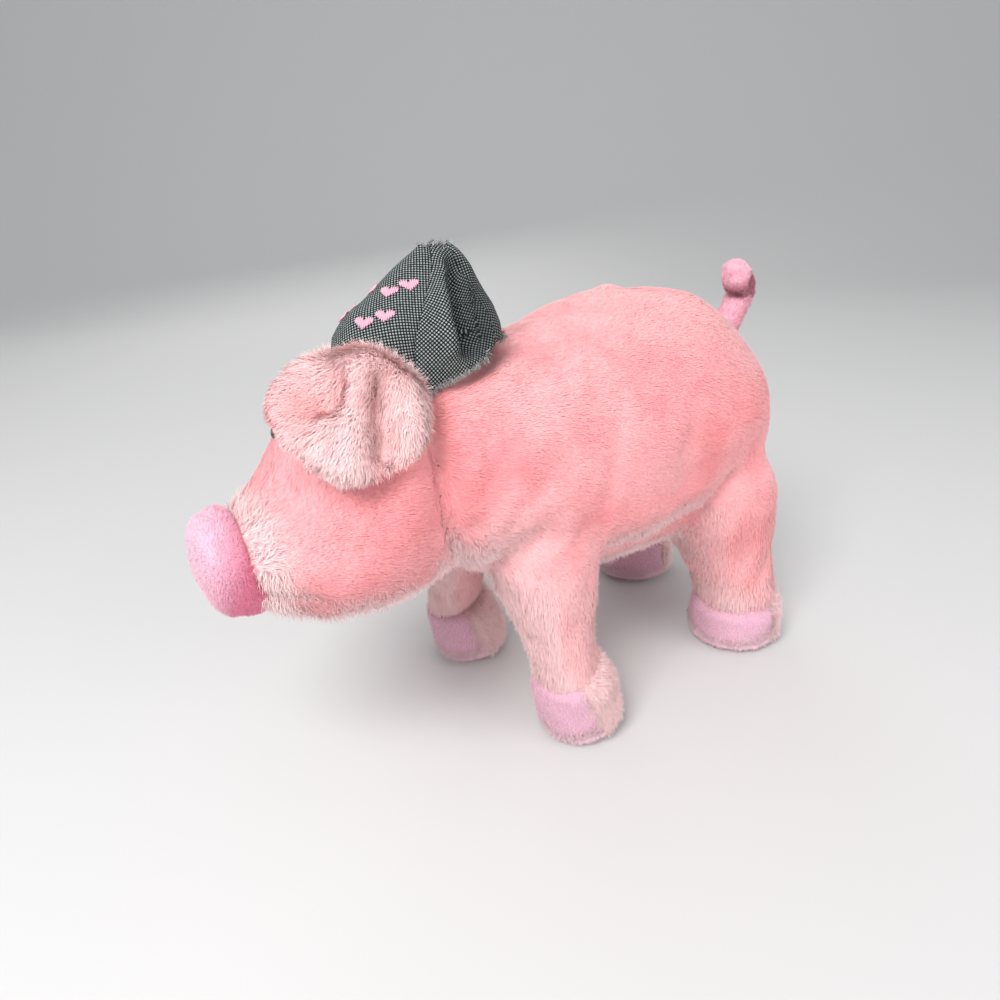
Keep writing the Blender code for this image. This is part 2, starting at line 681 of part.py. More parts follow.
def hat_rows(inset, sides, arc=None):
    """Rings up the hat, or the arc of them, from below the head's surface to the peak."""
    rows = []
    for up, front, rear, wide in [(-HAT_SKIRT / HAT_CROWN_HEIGHT, 1.0, 1.0, 1.0)] + hat_shares:
        reaches = (HAT_FRONT_LENGTH * front, HAT_REAR_LENGTH * rear, HAT_HALF_WIDTH * wide)
        front, rear, wide = [max(reach - inset, reach / 3) for reach in reaches]
        height = HAT_BASE_HEIGHT + HAT_CROWN_HEIGHT * up - (inset if up > 0 else 0)
        angles = seam_angles(*arc, sides, reaches[2]) if arc else full_turn(sides)
        rows.append([
            Vector((
                HAT_PEAK_X - (front if math.cos(a) > 0 else rear) * math.cos(a), -wide * math.sin(a), height,
            ))
            for a in angles
        ])
    return rows


def make_hat_cutter():
    """The hat, a little larger, which keeps the ears clear of it."""
    return make_cutter(add_object("hat_cutter", loft(hat_rows(-2 * SEAM_GAP, HAT_SIDES)), None))


def make_hat(trunk):
    """Front, rear and two side panels of cloth, trimmed where they are sewn to head and nape."""
    step = math.tau / HAT_SIDES
    front = round(HAT_FRONT_HALF_ANGLE / step)
    rear = HAT_SIDES // 2 - round(HAT_REAR_HALF_ANGLE / step)
    plans = [
        ("hat_front_panel", -front, front),
        ("hat_left_panel", front, rear),
        ("hat_rear_panel", rear, HAT_SIDES - rear),
        ("hat_right_panel", HAT_SIDES - rear, HAT_SIDES - front),
    ]
    for name, start, end in plans:
        arc = (step * start, step * end)
        outer = hat_rows(0, end - start, arc)
        inner = hat_rows(CLOTH_THICK, end - start, arc)
        cut(add_object(name, panel(outer, inner), CLOTH), trunk)


def build():
    clear_scene()
    trunk = make_trunk_cutter()
    hat = make_hat_cutter()
    make_body()
    make_head()
    make_snout()
    make_legs(trunk)
    make_ears(trunk, hat)
    make_hat(trunk)
    make_tail()


build()
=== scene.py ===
# %% [markdown]
# # A plush pig in a cloth hat
# The toy is sewn from short coral plush, with long pale pile on its ears and on the backs of its hooves,
# smooth velour on snout, hooves and tail, and a hat of woven cloth. We dress a finished CAD model: every
# soft solid in it gets a fuller form here, and on each form but the hat stands a pile of real fibres.

# %% Load the frame that everything is fitted to
import math

import bmesh
import bpy
import numpy as np
from mathutils import Euler, Matrix, Vector, noise
from mathutils.bvhtree import BVHTree


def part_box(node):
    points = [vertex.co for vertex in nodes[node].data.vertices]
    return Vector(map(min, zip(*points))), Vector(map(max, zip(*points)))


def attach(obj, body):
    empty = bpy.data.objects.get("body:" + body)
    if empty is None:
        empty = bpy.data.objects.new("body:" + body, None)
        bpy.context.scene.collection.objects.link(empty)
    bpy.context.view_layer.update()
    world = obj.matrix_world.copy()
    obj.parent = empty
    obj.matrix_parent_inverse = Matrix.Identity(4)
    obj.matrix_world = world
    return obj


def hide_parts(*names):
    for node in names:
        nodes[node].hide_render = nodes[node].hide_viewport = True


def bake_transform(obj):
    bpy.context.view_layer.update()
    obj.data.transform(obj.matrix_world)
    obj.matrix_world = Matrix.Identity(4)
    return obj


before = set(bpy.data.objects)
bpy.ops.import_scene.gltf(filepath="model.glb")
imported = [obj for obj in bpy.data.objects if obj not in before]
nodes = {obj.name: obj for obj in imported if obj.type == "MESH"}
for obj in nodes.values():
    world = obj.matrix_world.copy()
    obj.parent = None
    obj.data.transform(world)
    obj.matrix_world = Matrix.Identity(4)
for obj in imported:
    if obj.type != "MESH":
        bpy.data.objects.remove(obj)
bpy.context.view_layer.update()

# %% [markdown]
# The camera comes first, because every later choice is judged through it. It stands low and close, off
# the toy's left shoulder, and looks down a little, so the near legs hide parts of the far ones.

# %% Camera and view
CAMERA_PLACE = Vector((-0.1849, -0.2382, 0.2400))
CAMERA_TURN = Euler([math.radians(angle) for angle in (65.298, 3.042, -36.552)])

scene = bpy.context.scene
scene.view_settings.view_transform = "Standard"
lens = bpy.data.cameras.new("camera")
lens.sensor_width = 36
lens.lens = 25.2
camera = bpy.data.objects.new("camera", lens)
camera.location = CAMERA_PLACE
camera.rotation_euler = CAMERA_TURN
scene.collection.objects.link(camera)
scene.camera = camera
print("the camera stands", round(CAMERA_PLACE.z * 1000), "mm above the floor")

# %% [markdown]
# Folds and creases are easiest to place where the picture shows them. A sight line runs from the camera
# through a point of a 1000 by 1000 picture, and where it meets a form is the place of the fold.

# %% Sight lines and directions in the picture
VIEW = CAMERA_TURN.to_matrix()
FOCAL_PIXELS = 1000 * lens.lens / lens.sensor_width


def surface_of(*items):
    """The surface of some objects together, to cast rays at."""
    bm = bmesh.new()
    for item in items:
        bm.from_mesh(item.data)
    surface = BVHTree.FromBMesh(bm)
    bm.free()
    return surface


def seen_on(surface, *pixels):
    """The points of an object, or of a surface, that the camera sees at these picture points."""
    if isinstance(surface, bpy.types.Object):
        surface = surface_of(surface)
    hits = []
    for across, down in pixels:
        way = VIEW @ Vector((across - 500, 500 - down, -FOCAL_PIXELS))
        hit = surface.ray_cast(CAMERA_PLACE, way.normalized())[0]
        if hit is not None:
            hits.append(hit)
    return hits

# %% [markdown]
# A plain pale floor that sweeps up into a wall, and soft light from two large lamps, keep the eye on the
# toy. The world gives the even part of the light, and the lamp above the left gives the soft shadow under
# the belly. The sweep is a grid whose far edge is pulled up, with the corner rounded by a bevel.

# %% Floor, world and lamps
TOY_MIDDLE = Vector((0, 0, 0.1))
ROOM_HALF = 3.0
SWEEP_RADIUS = 1.2
ROOM_SHIFT = Vector((0, -0.6, 0))


def new_object(name, bm):
    """Turn a bmesh into a smooth shaded object at the origin."""
    mesh = bpy.data.meshes.new(name)
    bm.to_mesh(mesh)
    bm.free()
    mesh.shade_smooth()
    item = bpy.data.objects.new(name, mesh)
    scene.collection.objects.link(item)
    return item


def new_material(name, values):
    """A material and its shader, with these of the shader's values set."""
    material = bpy.data.materials.new(name)
    material.use_nodes = True
    shader = material.node_tree.nodes["Principled BSDF"]
    for key, value in values.items():
        shader.inputs[key].default_value = value
    return material, shader


def lamp(name, place, size, power):
    """A square area lamp that looks from its place at the toy."""
    data = bpy.data.lights.new(name, "AREA")
    data.size = size
    data.energy = power
    item = bpy.data.objects.new(name, data)
    item.location = place
    item.rotation_euler = (TOY_MIDDLE - Vector(place)).to_track_quat("-Z", "Y").to_euler()
    scene.collection.objects.link(item)


bm = bmesh.new()
bmesh.ops.create_grid(bm, x_segments=1, y_segments=1, size=ROOM_HALF)
far_edge = [edge for edge in bm.edges if all(corner.co.y > 0 for corner in edge.verts)]
wall = bmesh.ops.extrude_edge_only(bm, edges=far_edge)["geom"]
wall_top = [part for part in wall if isinstance(part, bmesh.types.BMVert)]
bmesh.ops.translate(bm, vec=(0, 0, ROOM_HALF), verts=wall_top)
low_edges = [edge for edge in bm.edges if all(corner.co.z < 1 for corner in edge.verts)]
inner_corner = [edge for edge in low_edges if all(corner.co.y > 0 for corner in edge.verts)]
bmesh.ops.bevel(
    bm, geom=inner_corner, offset=SWEEP_RADIUS, segments=24, profile=0.5, affect="EDGES", material=-1,
)
bmesh.ops.translate(bm, vec=ROOM_SHIFT, verts=bm.verts)
bmesh.ops.rotate(bm, matrix=Euler((0, 0, CAMERA_TURN.z)).to_matrix(), verts=bm.verts)
floor = new_object("floor", bm)
floor_values = {"Base Color": (0.66, 0.655, 0.65, 1), "Roughness": 0.9}
floor.data.materials.append(new_material("floor_paint", floor_values)[0])

world = bpy.data.worlds.new("studio")
scene.world = world
world.use_nodes = True
world.node_tree.nodes["Background"].inputs["Color"].default_value = (0.95, 0.97, 1.0, 1)
world.node_tree.nodes["Background"].inputs["Strength"].default_value = 0.55
lamp("window_lamp", (-0.75, -0.40, 1.00), 0.6, 15)
lamp("fill_lamp", (0.5, -1.3, 0.6), 1.0, 6)
lamp("far_lamp", (0.5, 1.2, 0.8), 1.0, 4)

# %% [markdown]
# Each stuffed form starts as the solids that the frame gives, skin and filling together. A voxel remesh
# turns them into one closed skin of even squares, which cloth and smoothing can work on.

# %% Forms made from the frame's solids
MERGE_DISTANCE = 1e-5
EVERY_AXIS = {"use_axis_x": True, "use_axis_y": True, "use_axis_z": True}


def settle(item):
    """Apply an object's modifiers."""
    graph = bpy.context.evaluated_depsgraph_get()
    mesh = bpy.data.meshes.new_from_object(item.evaluated_get(graph), depsgraph=graph)
    item.modifiers.clear()
    item.data = mesh


def joined(node_names):
    """These solids of the frame in one bmesh, with the points of their loose triangles merged."""
    bm = bmesh.new()
    for node_name in node_names:
        bm.from_mesh(nodes[node_name].data)
    bmesh.ops.remove_doubles(bm, verts=bm.verts, dist=MERGE_DISTANCE)
    return bm


def even_skin(name, bm, square):
    """One closed skin round a bmesh, in squares of about this size."""
    form = new_object(name, bm)
    form.data.materials.clear()
    change = form.modifiers.new("even squares", "REMESH")
    change.mode = "VOXEL"
    change.voxel_size = square
    settle(form)
    form.data.shade_smooth()
    print(f"{name}: {len(form.data.polygons)} squares")
    return form


def soften(form, rounds, hold_edges=False):
    """Smooth a form's points towards their neighbours, all of them or all but those on its open edges."""
    bm = bmesh.new()
    bm.from_mesh(form.data)
    free = [corner for corner in bm.verts if not (hold_edges and corner.is_boundary)]
    for turn in range(rounds):
        bmesh.ops.smooth_vert(bm, verts=free, factor=0.5, **EVERY_AXIS)
    bm.to_mesh(form.data)
    bm.free()


def refine(form):
    """Halve the squares of a form, rounding it."""
    change = form.modifiers.new("finer", "SUBSURF")
    change.levels = change.render_levels = 1
    settle(form)


def read_points(form):
    """A form's points and their normals, as two arrays."""
    count = len(form.data.vertices)
    places = np.empty(count * 3)
    form.data.vertices.foreach_get("co", places)
    normals = np.empty(count * 3)
    form.data.vertex_normals.foreach_get("vector", normals)
    return places.reshape(-1, 3), normals.reshape(-1, 3)


def write_points(form, places):
    form.data.vertices.foreach_set("co", np.ascontiguousarray(places).ravel())
    form.data.update()

# %% [markdown]
# Stuffing pushes the skin out everywhere but at the seams, which hold it. Blender's cloth does the same:
# pressure blows the skin up for twenty frames while the seam points are pinned, and a cap on how far a
# point may move keeps the form where the frame has it.

# %% Stuffing by cloth pressure
STUFFING_FRAMES = 20
STUFFING_PRESSURE = 4
STUFFING_STRETCH = -0.02


def stuff(form, held, cap):
    """Blow a form up under pressure, held at its seams, and keep every move under the cap."""
    before = read_points(form)[0]
    group = form.vertex_groups.new(name="seams")
    group.add([int(index) for index in np.flatnonzero(held)], 1, "REPLACE")
    change = form.modifiers.new("cloth", "CLOTH")
    change.settings.vertex_group_mass = "seams"
    change.settings.use_pressure = True
    change.settings.uniform_pressure_force = STUFFING_PRESSURE
    change.settings.effector_weights.gravity = 0
    change.settings.shrink_min = STUFFING_STRETCH
    change.point_cache.frame_end = STUFFING_FRAMES
    for count in range(STUFFING_FRAMES):
        scene.frame_set(count + 1)
    settle(form)
    scene.frame_set(1)
    moves = read_points(form)[0] - before
    far = np.linalg.norm(moves, axis=1, keepdims=True)
    write_points(form, before + moves * np.minimum(1, cap / np.maximum(far, 1e-9)))
    print(f"{form.name}: stuffed, mean move {1000 * far.mean():.1f} mm, most {1000 * far.max():.1f} mm")


def round_spot(places, spot, radius):
    """1 at a spot, falling smoothly to 0 at this radius."""
    near = np.linalg.norm(places - np.array(spot), axis=1) / radius
    return np.where(near < 1, (1 - near ** 2) ** 2, 0)


def raise_spot(form, spot, radius, height):
    """Push the form out round a spot, or in where the height is negative."""
    places, normals = read_points(form)
    write_points(form, places + height * round_spot(places, spot, radius)[:, None] * normals)


def pull(form, pixel, radius, shift):
    """Shift a form round the place seen at a picture point: to the right, up and towards the camera."""
    move = np.array(VIEW @ Vector(shift))
    places = read_points(form)[0]
    for spot in seen_on(form, pixel):
        write_points(form, places + round_spot(places, spot, radius)[:, None] * move)


def near_line(places, line, width):
    """1 on a line of points, falling to 0 over about this width."""
    nearest = np.full(len(places), 1e9)
    for start, end in zip(line, line[1:] or line):
        start, run = np.array(start), np.array(end) - np.array(start)
        along = np.clip((places - start) @ run / max(run @ run, 1e-12), 0, 1)
        nearest = np.minimum(nearest, np.linalg.norm(places - start - along[:, None] * run, axis=1))
    return np.exp(-(nearest / width) ** 2)


def press_line(form, line, width, depth):
    """Press a groove along a line of points, or raise a ridge where the depth is negative."""
    places, normals = read_points(form)
    write_points(form, places - depth * near_line(places, line, width)[:, None] * normals)


def roughen(form, size, height, seed):
    """Low lumps over a form, as loose filling leaves."""
    places, normals = read_points(form)
    lumps = np.array([noise.noise(Vector(place) / size + Vector((seed, 0, 0))) for place in places])
    write_points(form, places + height * lumps[:, None] * normals)

# %% [markdown]
# Plush is a knitted back with fibres standing in it. Painting it on the skin leaves bare outlines, so the
# pile here is real: thousands of copies of one little leaf, a rhombus folded across its middle, which has
# two faces only. The leaf is a four sided circle, tipped upright and bent.

# %% One fibre
def make_leaf():
    bm = bmesh.new()
    corners = bmesh.ops.create_circle(bm, cap_ends=True, segments=4, radius=0.5)["verts"]
    across = sorted(corners, key=lambda corner: corner.co.x)
    bmesh.ops.connect_verts(bm, verts=[across[0], across[-1]])
    for corner in bm.verts:
        corner.co = Vector((corner.co.x, 0, corner.co.y + 0.5))
    for corner in (across[0], across[-1]):
        corner.co += Vector((0, 0.12, -0.1))
    bmesh.ops.reverse_faces(bm, faces=bm.faces)
    tip = bm.verts.layers.float.new("tip")
    for corner in bm.verts:
        corner[tip] = corner.co.z
    item = new_object("fibre_leaf", bm)
    item.hide_render = True
    return item


leaf = make_leaf()
print("a fibre has", len(leaf.data.polygons), "faces")

# %% [markdown]
# Geometry Nodes plants the pile. It scatters points on the skin, turns a leaf at each point along the
# comb, lifted by the skin's normal and ruffled by noise, and scales it by the length wanted there. The
# comb, the length and the thickness of the pile are attributes that we paint on the skin first.

# %% The pile as a node group
class Wiring:
    """Short calls for adding nodes to a tree and joining them."""

    def __init__(self, tree):
        self.tree = tree

    def feed(self, socket, value):
        if isinstance(value, (int, float, tuple, str)):
            socket.default_value = value
        else:
            self.tree.links.new(value, socket)

    def add(self, kind, inputs=(), **settings):
        """A node with these settings, and with some of its inputs fed."""
        node = self.tree.nodes.new(kind)
        for key, value in settings.items():
            setattr(node, key, value)
        for key, value in dict(inputs).items():
            self.feed(node.inputs[key], value)
        return node

    def number(self, operation, *values):
        return self.add("ShaderNodeMath", enumerate(values), operation=operation).outputs[0]

    def vector(self, operation, *values):
        return self.add("ShaderNodeVectorMath", enumerate(values), operation=operation).outputs[0]

    def scaled(self, value, scale):
        inputs = {"Vector": value, "Scale": scale}
        return self.add("ShaderNodeVectorMath", inputs, operation="SCALE").outputs[0]

    def painted(self, name, kind="FLOAT"):
        """A value that is painted on the skin below the pile."""
        node = self.add("GeometryNodeInputNamedAttribute", {"Name": name}, data_type=kind)
        return node.outputs["Attribute"]

    def store(self, geometry, name, value, kind="FLOAT"):
        """Write a value on every planted leaf, which all its points then carry."""
        inputs = {"Name": name, "Geometry": geometry, "Value": value}
        kind_and_place = {"data_type": kind, "domain": "INSTANCE"}
        return self.add("GeometryNodeStoreNamedAttribute", inputs, **kind_and_place).outputs[0]


PILE_VALUES = ("Density", "Length", "Width", "Bend", "Lift", "Scatter", "Clump", "Clump Size")
SHORTEST_SHARE = 0.7
LONGEST_SHARE = 1.15


def pile_group(leaf):
    """The node group that plants the pile, and the names of its sockets."""
    tree = bpy.data.node_groups.new("pile", "GeometryNodeTree")
    tree.is_modifier = True
    tree.interface.new_socket("Geometry", in_out="INPUT", socket_type="NodeSocketGeometry")
    names = {}
    for name in (*PILE_VALUES, "Seed"):
        kind = "NodeSocketInt" if name == "Seed" else "NodeSocketFloat"
        names[name] = tree.interface.new_socket(name, in_out="INPUT", socket_type=kind).identifier
    tree.interface.new_socket("Geometry", in_out="OUTPUT", socket_type="NodeSocketGeometry")

    wire = Wiring(tree)
    given = wire.add("NodeGroupInput").outputs
    density = wire.number("MULTIPLY", given["Density"], wire.painted("grow"))
    scatter = wire.add(
        "GeometryNodeDistributePointsOnFaces",
        {"Mesh": given["Geometry"], "Density": density, "Seed": given["Seed"]}, distribute_method="RANDOM",
    )
    keep = wire.add("GeometryNodeCaptureAttribute", domain="POINT")
    keep.capture_items.new("VECTOR", "Normal")
    wire.feed(keep.inputs[0], scatter.outputs["Points"])
    wire.feed(keep.inputs[1], scatter.outputs["Normal"])
    normal = keep.outputs[1]

    every_way = {0: (-1.0, -1.0, -1.0), 1: (1.0, 1.0, 1.0), "Seed": given["Seed"]}
    loose = wire.add("FunctionNodeRandomValue", every_way, data_type="FLOAT_VECTOR")
    clumps = {
        "Vector": wire.add("GeometryNodeInputPosition").outputs[0],
        "Scale": wire.number("DIVIDE", 1.0, given["Clump Size"]), "Detail": 1.0,
    }
    cloud = wire.add("ShaderNodeTexNoise", clumps)
    swirl = wire.vector("SUBTRACT", cloud.outputs["Color"], (0.5, 0.5, 0.5))
    lifted = wire.scaled(normal, given["Lift"])
    way = wire.vector("ADD", wire.painted("comb", "FLOAT_VECTOR"), lifted)
    way = wire.vector("ADD", way, wire.scaled(loose.outputs[0], given["Scatter"]))
    way = wire.vector("ADD", way, wire.scaled(swirl, given["Clump"]))
    turn = wire.add(
        "FunctionNodeAxesToRotation",
        {"Primary Axis": wire.vector("NORMALIZE", way), "Secondary Axis": normal},
        primary_axis="Z", secondary_axis="Y",
    )

    vary = wire.add(
        "FunctionNodeRandomValue", {2: SHORTEST_SHARE, 3: LONGEST_SHARE, "Seed": 3}, data_type="FLOAT",
    )
    long = wire.number("MULTIPLY", given["Length"], wire.painted("long"))
    long = wire.number("MULTIPLY", long, vary.outputs[1])
    bent = wire.number("MULTIPLY", long, given["Bend"])
    size = wire.add("ShaderNodeCombineXYZ", {0: given["Width"], 1: bent, 2: long})
    shape = wire.add("GeometryNodeObjectInfo")
    shape.inputs["Object"].default_value = leaf
    plant = wire.add(
        "GeometryNodeInstanceOnPoints",
        {
            "Points": keep.outputs[0], "Instance": shape.outputs["Geometry"],
            "Rotation": turn.outputs[0], "Scale": size.outputs[0],
        },
    )

    tone = wire.add("FunctionNodeRandomValue", {"Seed": 5}, data_type="FLOAT")
    marked = wire.store(plant.outputs[0], "tone", tone.outputs[1])
    marked = wire.store(marked, "facing", normal, "FLOAT_VECTOR")
    real = wire.add("GeometryNodeRealizeInstances", {"Geometry": marked})
    wire.add("NodeGroupOutput", {0: real.outputs[0]})
    return tree, names


PILE, PILE_SOCKETS = pile_group(leaf)
print("the pile group has", len(PILE.nodes), "nodes")

# %% [markdown]
# The comb is a direction per point, pressed flat onto the skin. Each pile copies the normals of the skin
# below it onto its fibres, so that a thousand small leaves shade as one soft surface.

# %% Combing and planting
def paint(form, name, values):
    """Store a number or a direction for every point of a form."""
    kind, key = ("FLOAT_VECTOR", "vector") if values.ndim == 2 else ("FLOAT", "value")
    layer = form.data.attributes.get(name) or form.data.attributes.new(name, kind, "POINT")
    layer.data.foreach_set(key, np.ascontiguousarray(values, np.float32).ravel())


def comb(form, flow, grow=1.0, long=1.0, pale=0.0, warm=0.0):
    """Lay the pile along a flow of directions, with thickness, length, paleness and depth of colour, which
    carry painted light and shade too.
    """
    places, normals = read_points(form)
    flow = np.broadcast_to(np.array(flow, float), places.shape)
    flat = flow - (flow * normals).sum(1, keepdims=True) * normals
    size = np.linalg.norm(flat, axis=1, keepdims=True)
    paint(form, "comb", flat / np.maximum(size, 0.08))
    for name, value in (("grow", grow), ("long", long), ("pale", pale), ("warm", warm)):
        paint(form, name, np.broadcast_to(np.array(value, float), len(places)))


def pile(length, width, bend, lift, scatter, clump, clump_size):
    """One kind of pile: the size of its fibres, how far they bend, stand up and stray, and its clumps."""
    return dict(zip(PILE_VALUES[1:], (length, width, bend, lift, scatter, clump, clump_size)))


def plant(form, name, count, kind, seed):
    """Plant about this many fibres of a kind on a form, as a piece of its own."""
    item = bpy.data.objects.new(name, form.data.copy())
    scene.collection.objects.link(item)
    grow = np.empty(len(form.data.vertices), np.float32)
    form.data.attributes["grow"].data.foreach_get("value", grow)
    area = sum(face.area * grow[face.vertices[0]] for face in form.data.polygons)
    change = item.modifiers.new("pile", "NODES")
    change.node_group = PILE
    for key, value in {"Density": count / area, **kind, "Seed": seed}.items():
        change[PILE_SOCKETS[key]] = value
    settle(item)
    item.vertex_groups.clear()
    facing = np.empty(len(item.data.vertices) * 3, np.float32)
    item.data.attributes["facing"].data.foreach_get("vector", facing)
    for spare in ("comb", "grow", "long", "facing"):
        item.data.attributes.remove(item.data.attributes[spare])
    item.data.normals_split_custom_set_from_vertices(facing.reshape(-1, 3))
    print(f"{name}: {len(item.data.polygons) // 2} fibres")
    return item


def nearest_of(form, node_names):
    """For every point of a form, its distance to each of these solids of the frame."""
    rows = []
    for node_name in node_names:
        solid = surface_of(nodes[node_name])
        rows.append([solid.find_nearest(Vector(place))[3] for place in read_points(form)[0]])
    return np.array(rows)


def smoothstep(values, low, high):
    """0 below low, 1 above high, and a smooth rise between them."""
    share = np.clip((values - low) / (high - low), 0, 1)
    return share * share * (3 - 2 * share)

# %% [markdown]
# One recipe covers all the plush: a rough coloured base with sheen for the pale outlines. The colour goes
# from a deeper root to a pale tip, which is painted shade among the fibres and painted light on the tips.
# Each fibre has its own tone, soft clouds run over the skin where the pile has been brushed about, and
# painted paleness turns it pale pink at the throat, the ankles and the rims and also paints highlights
# and sheen. A painted deeper colour stands partly for brushed pile and partly for painted shade.

# %% The plush and velour materials
SHEEN_TINT = (1.0, 0.93, 0.92, 1)


class ShaderWiring(Wiring):
    """Short calls for what our materials share."""

    def stored(self, name):
        return self.add("ShaderNodeAttribute", attribute_name=name).outputs["Fac"]

    def spread(self, value, low, high, start=0.0, end=1.0):
        """Carry a value from one range to another."""
        ranges = {"Value": value, "From Min": start, "From Max": end, "To Min": low, "To Max": high}
        return self.add("ShaderNodeMapRange", ranges).outputs[0]

    def mix(self, share, first, second, blend="MIX"):
        inputs = {0: share, 6: first, 7: second}
        return self.add("ShaderNodeMix", inputs, data_type="RGBA", blend_type=blend).outputs[2]

    def clouds(self, scale):
        place = self.add("ShaderNodeTexCoord").outputs["Object"]
        inputs = {"Vector": place, "Scale": scale, "Detail": 2.0}
        return self.add("ShaderNodeTexNoise", inputs).outputs["Fac"]


def cloth_shader(name, roughness, sheen, sheen_roughness):
    """A cloth's material, its shader and the wiring of its nodes."""
    material, shader = new_material(name, {
        "Roughness": roughness, "Specular IOR Level": 0.2, "Sheen Weight": sheen,
        "Sheen Roughness": sheen_roughness, "Sheen Tint": SHEEN_TINT,
    })
    return material, shader, ShaderWiring(material.node_tree)


def plush(name, colour, deep, pale, root_shade, tip_shade, sheen, uneven=0.05):
    """Pile of one colour, clouding to a deeper one and deeper in painted shade, pale where paleness and
    highlights are painted.
    """
    material, shader, wire = cloth_shader(name, 0.8, sheen, 0.5)
    patches = wire.spread(wire.clouds(38.0), 0.0, 0.55, 0.42, 0.66)
    # A painted deeper colour, partly brushed pile and partly painted shade, adds to the clouds.
    patches = wire.spread(wire.number("ADD", patches, wire.stored("warm")), 0.0, 1.0)
    base = wire.mix(patches, (*colour, 1.0), (*deep, 1.0))
    base = wire.mix(wire.stored("pale"), base, (*pale, 1.0))
    # The root is painted darker, as shade among the fibres, and the tip lighter, as light on it.
    shade = wire.spread(wire.stored("tip"), root_shade, tip_shade, 0.0, 0.8)
    tone = wire.spread(wire.stored("tone"), 1 - uneven, 1 + uneven)
    streak = wire.spread(wire.clouds(420.0), 0.97, 1.03, 0.3, 0.7)
    shade = wire.number("MULTIPLY", wire.number("MULTIPLY", shade, tone), streak)
    gray = wire.add("ShaderNodeCombineColor", {"Red": shade, "Green": shade, "Blue": shade}).outputs[0]
    wire.feed(shader.inputs["Base Color"], wire.mix(1.0, base, gray, "MULTIPLY"))
    return material


PALE_PINK = (0.99, 0.74, 0.74)
CORAL_PLUSH = plush("coral_plush", (0.98, 0.49, 0.50), (0.96, 0.31, 0.33), PALE_PINK, 0.95, 1.02, 0.14)
HEAD_PLUSH = plush("head_plush", (0.98, 0.47, 0.495), (0.96, 0.34, 0.36), PALE_PINK, 0.95, 1.02, 0.18)
PALE_PLUSH = plush(
    "pale_plush", (0.96, 0.47, 0.47), (0.93, 0.36, 0.37), (0.99, 0.74, 0.735), 0.78, 1.04, 0.25, 0.10,
)
LILAC_VELOUR = plush(
    "lilac_velour", (0.93, 0.27, 0.41), (0.90, 0.17, 0.31), (0.97, 0.65, 0.78), 0.84, 1.04, 0.30, 0.10,
)
TAIL_VELOUR = plush(
    "tail_velour", (0.98, 0.49, 0.60), (0.95, 0.34, 0.46), (0.99, 0.70, 0.78), 0.78, 1.06, 0.30, 0.14,
)
FRINGE_PLUSH = plush("fringe_plush", (0.98, 0.57, 0.57), (0.95, 0.42, 0.43), PALE_PINK, 0.86, 1.05, 0.25)
print("plush and velour:", [material.name for material in bpy.data.materials if material.use_nodes])


def dress(item, material, body="trunk"):
    """Give a piece its material and the body that it rides."""
    item.data.materials.clear()
    item.data.materials.append(material)
    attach(item, body)
    return item

# %% [markdown]
# Head, body and legs are sewn from separate panels, but the filling rounds them into each other. So we
# blow up one form through all of them, held at the seams: along the back, along both edges of the belly
# gusset, round the neck and the snout and at the ankles. Afterwards it is parted into six pieces again.

# %% Head, body and legs as one stuffed form
SIDES = ("left", "right")
LEGS = [f"{end}_{side}" for end in ("front", "rear") for side in SIDES]
BODY_NODES = ["body_side_left", "body_side_right", "belly_gusset", "body_stuffing"]
HEAD_NODES = ["head_side_left", "head_side_right", "head_stuffing"]
LEG_NODES = {leg: [f"leg_sleeve_{leg}", f"leg_stuffing_{leg}"] for leg in LEGS}
SEAM_REACH = 0.003
STUFFING_CAP = 0.003
SNOUT_SEAM_X = -0.129
ANKLE_SEAM_Z = 0.042
NECK_GROOVE_DEPTH = 0.0034
NECK_GROOVE_WIDTH = 0.0026


def behind_neck(form):
    """How far each point lies behind the neck seam, or before it where the number is negative."""
    rows = nearest_of(form, HEAD_NODES[:2] + BODY_NODES[:3])
    return rows[:2].min(0) - rows[2:].min(0)


toy_form = even_skin("toy_form", joined(BODY_NODES + HEAD_NODES + sum(LEG_NODES.values(), [])), 0.004)
soften(toy_form, 3)
x, y, z = read_points(toy_form)[0].T
gusset_half = 0.040 * np.sin(np.clip((x + 0.062) / 0.206, 0, 1) * math.pi) ** 0.35
gusset_edge = (np.abs(np.abs(y) - gusset_half) < SEAM_REACH) & (z < 0.12) & (z > 0.09)
back_seam = (np.abs(y) < SEAM_REACH) & ((z > 0.15) | (x < -0.06))
neck_seam = np.abs(behind_neck(toy_form)) < SEAM_REACH
held = back_seam | gusset_edge | neck_seam | (x < SNOUT_SEAM_X) | (z < ANKLE_SEAM_Z)
stuff(toy_form, held, STUFFING_CAP)
refine(toy_form)
soften(toy_form, 2)
behind = behind_neck(toy_form)
places, normals = read_points(toy_form)
neck_groove = NECK_GROOVE_DEPTH * np.exp(-(behind / NECK_GROOVE_WIDTH) ** 2)
write_points(toy_form, places - neck_groove[:, None] * normals)

# %% [markdown]
# The picture shows what the filling does: a pucker on the back where the closing seam ends, a ridge down
# the flank, a pale swelling behind the shoulder, and a fold where the flank meets the rear leg.

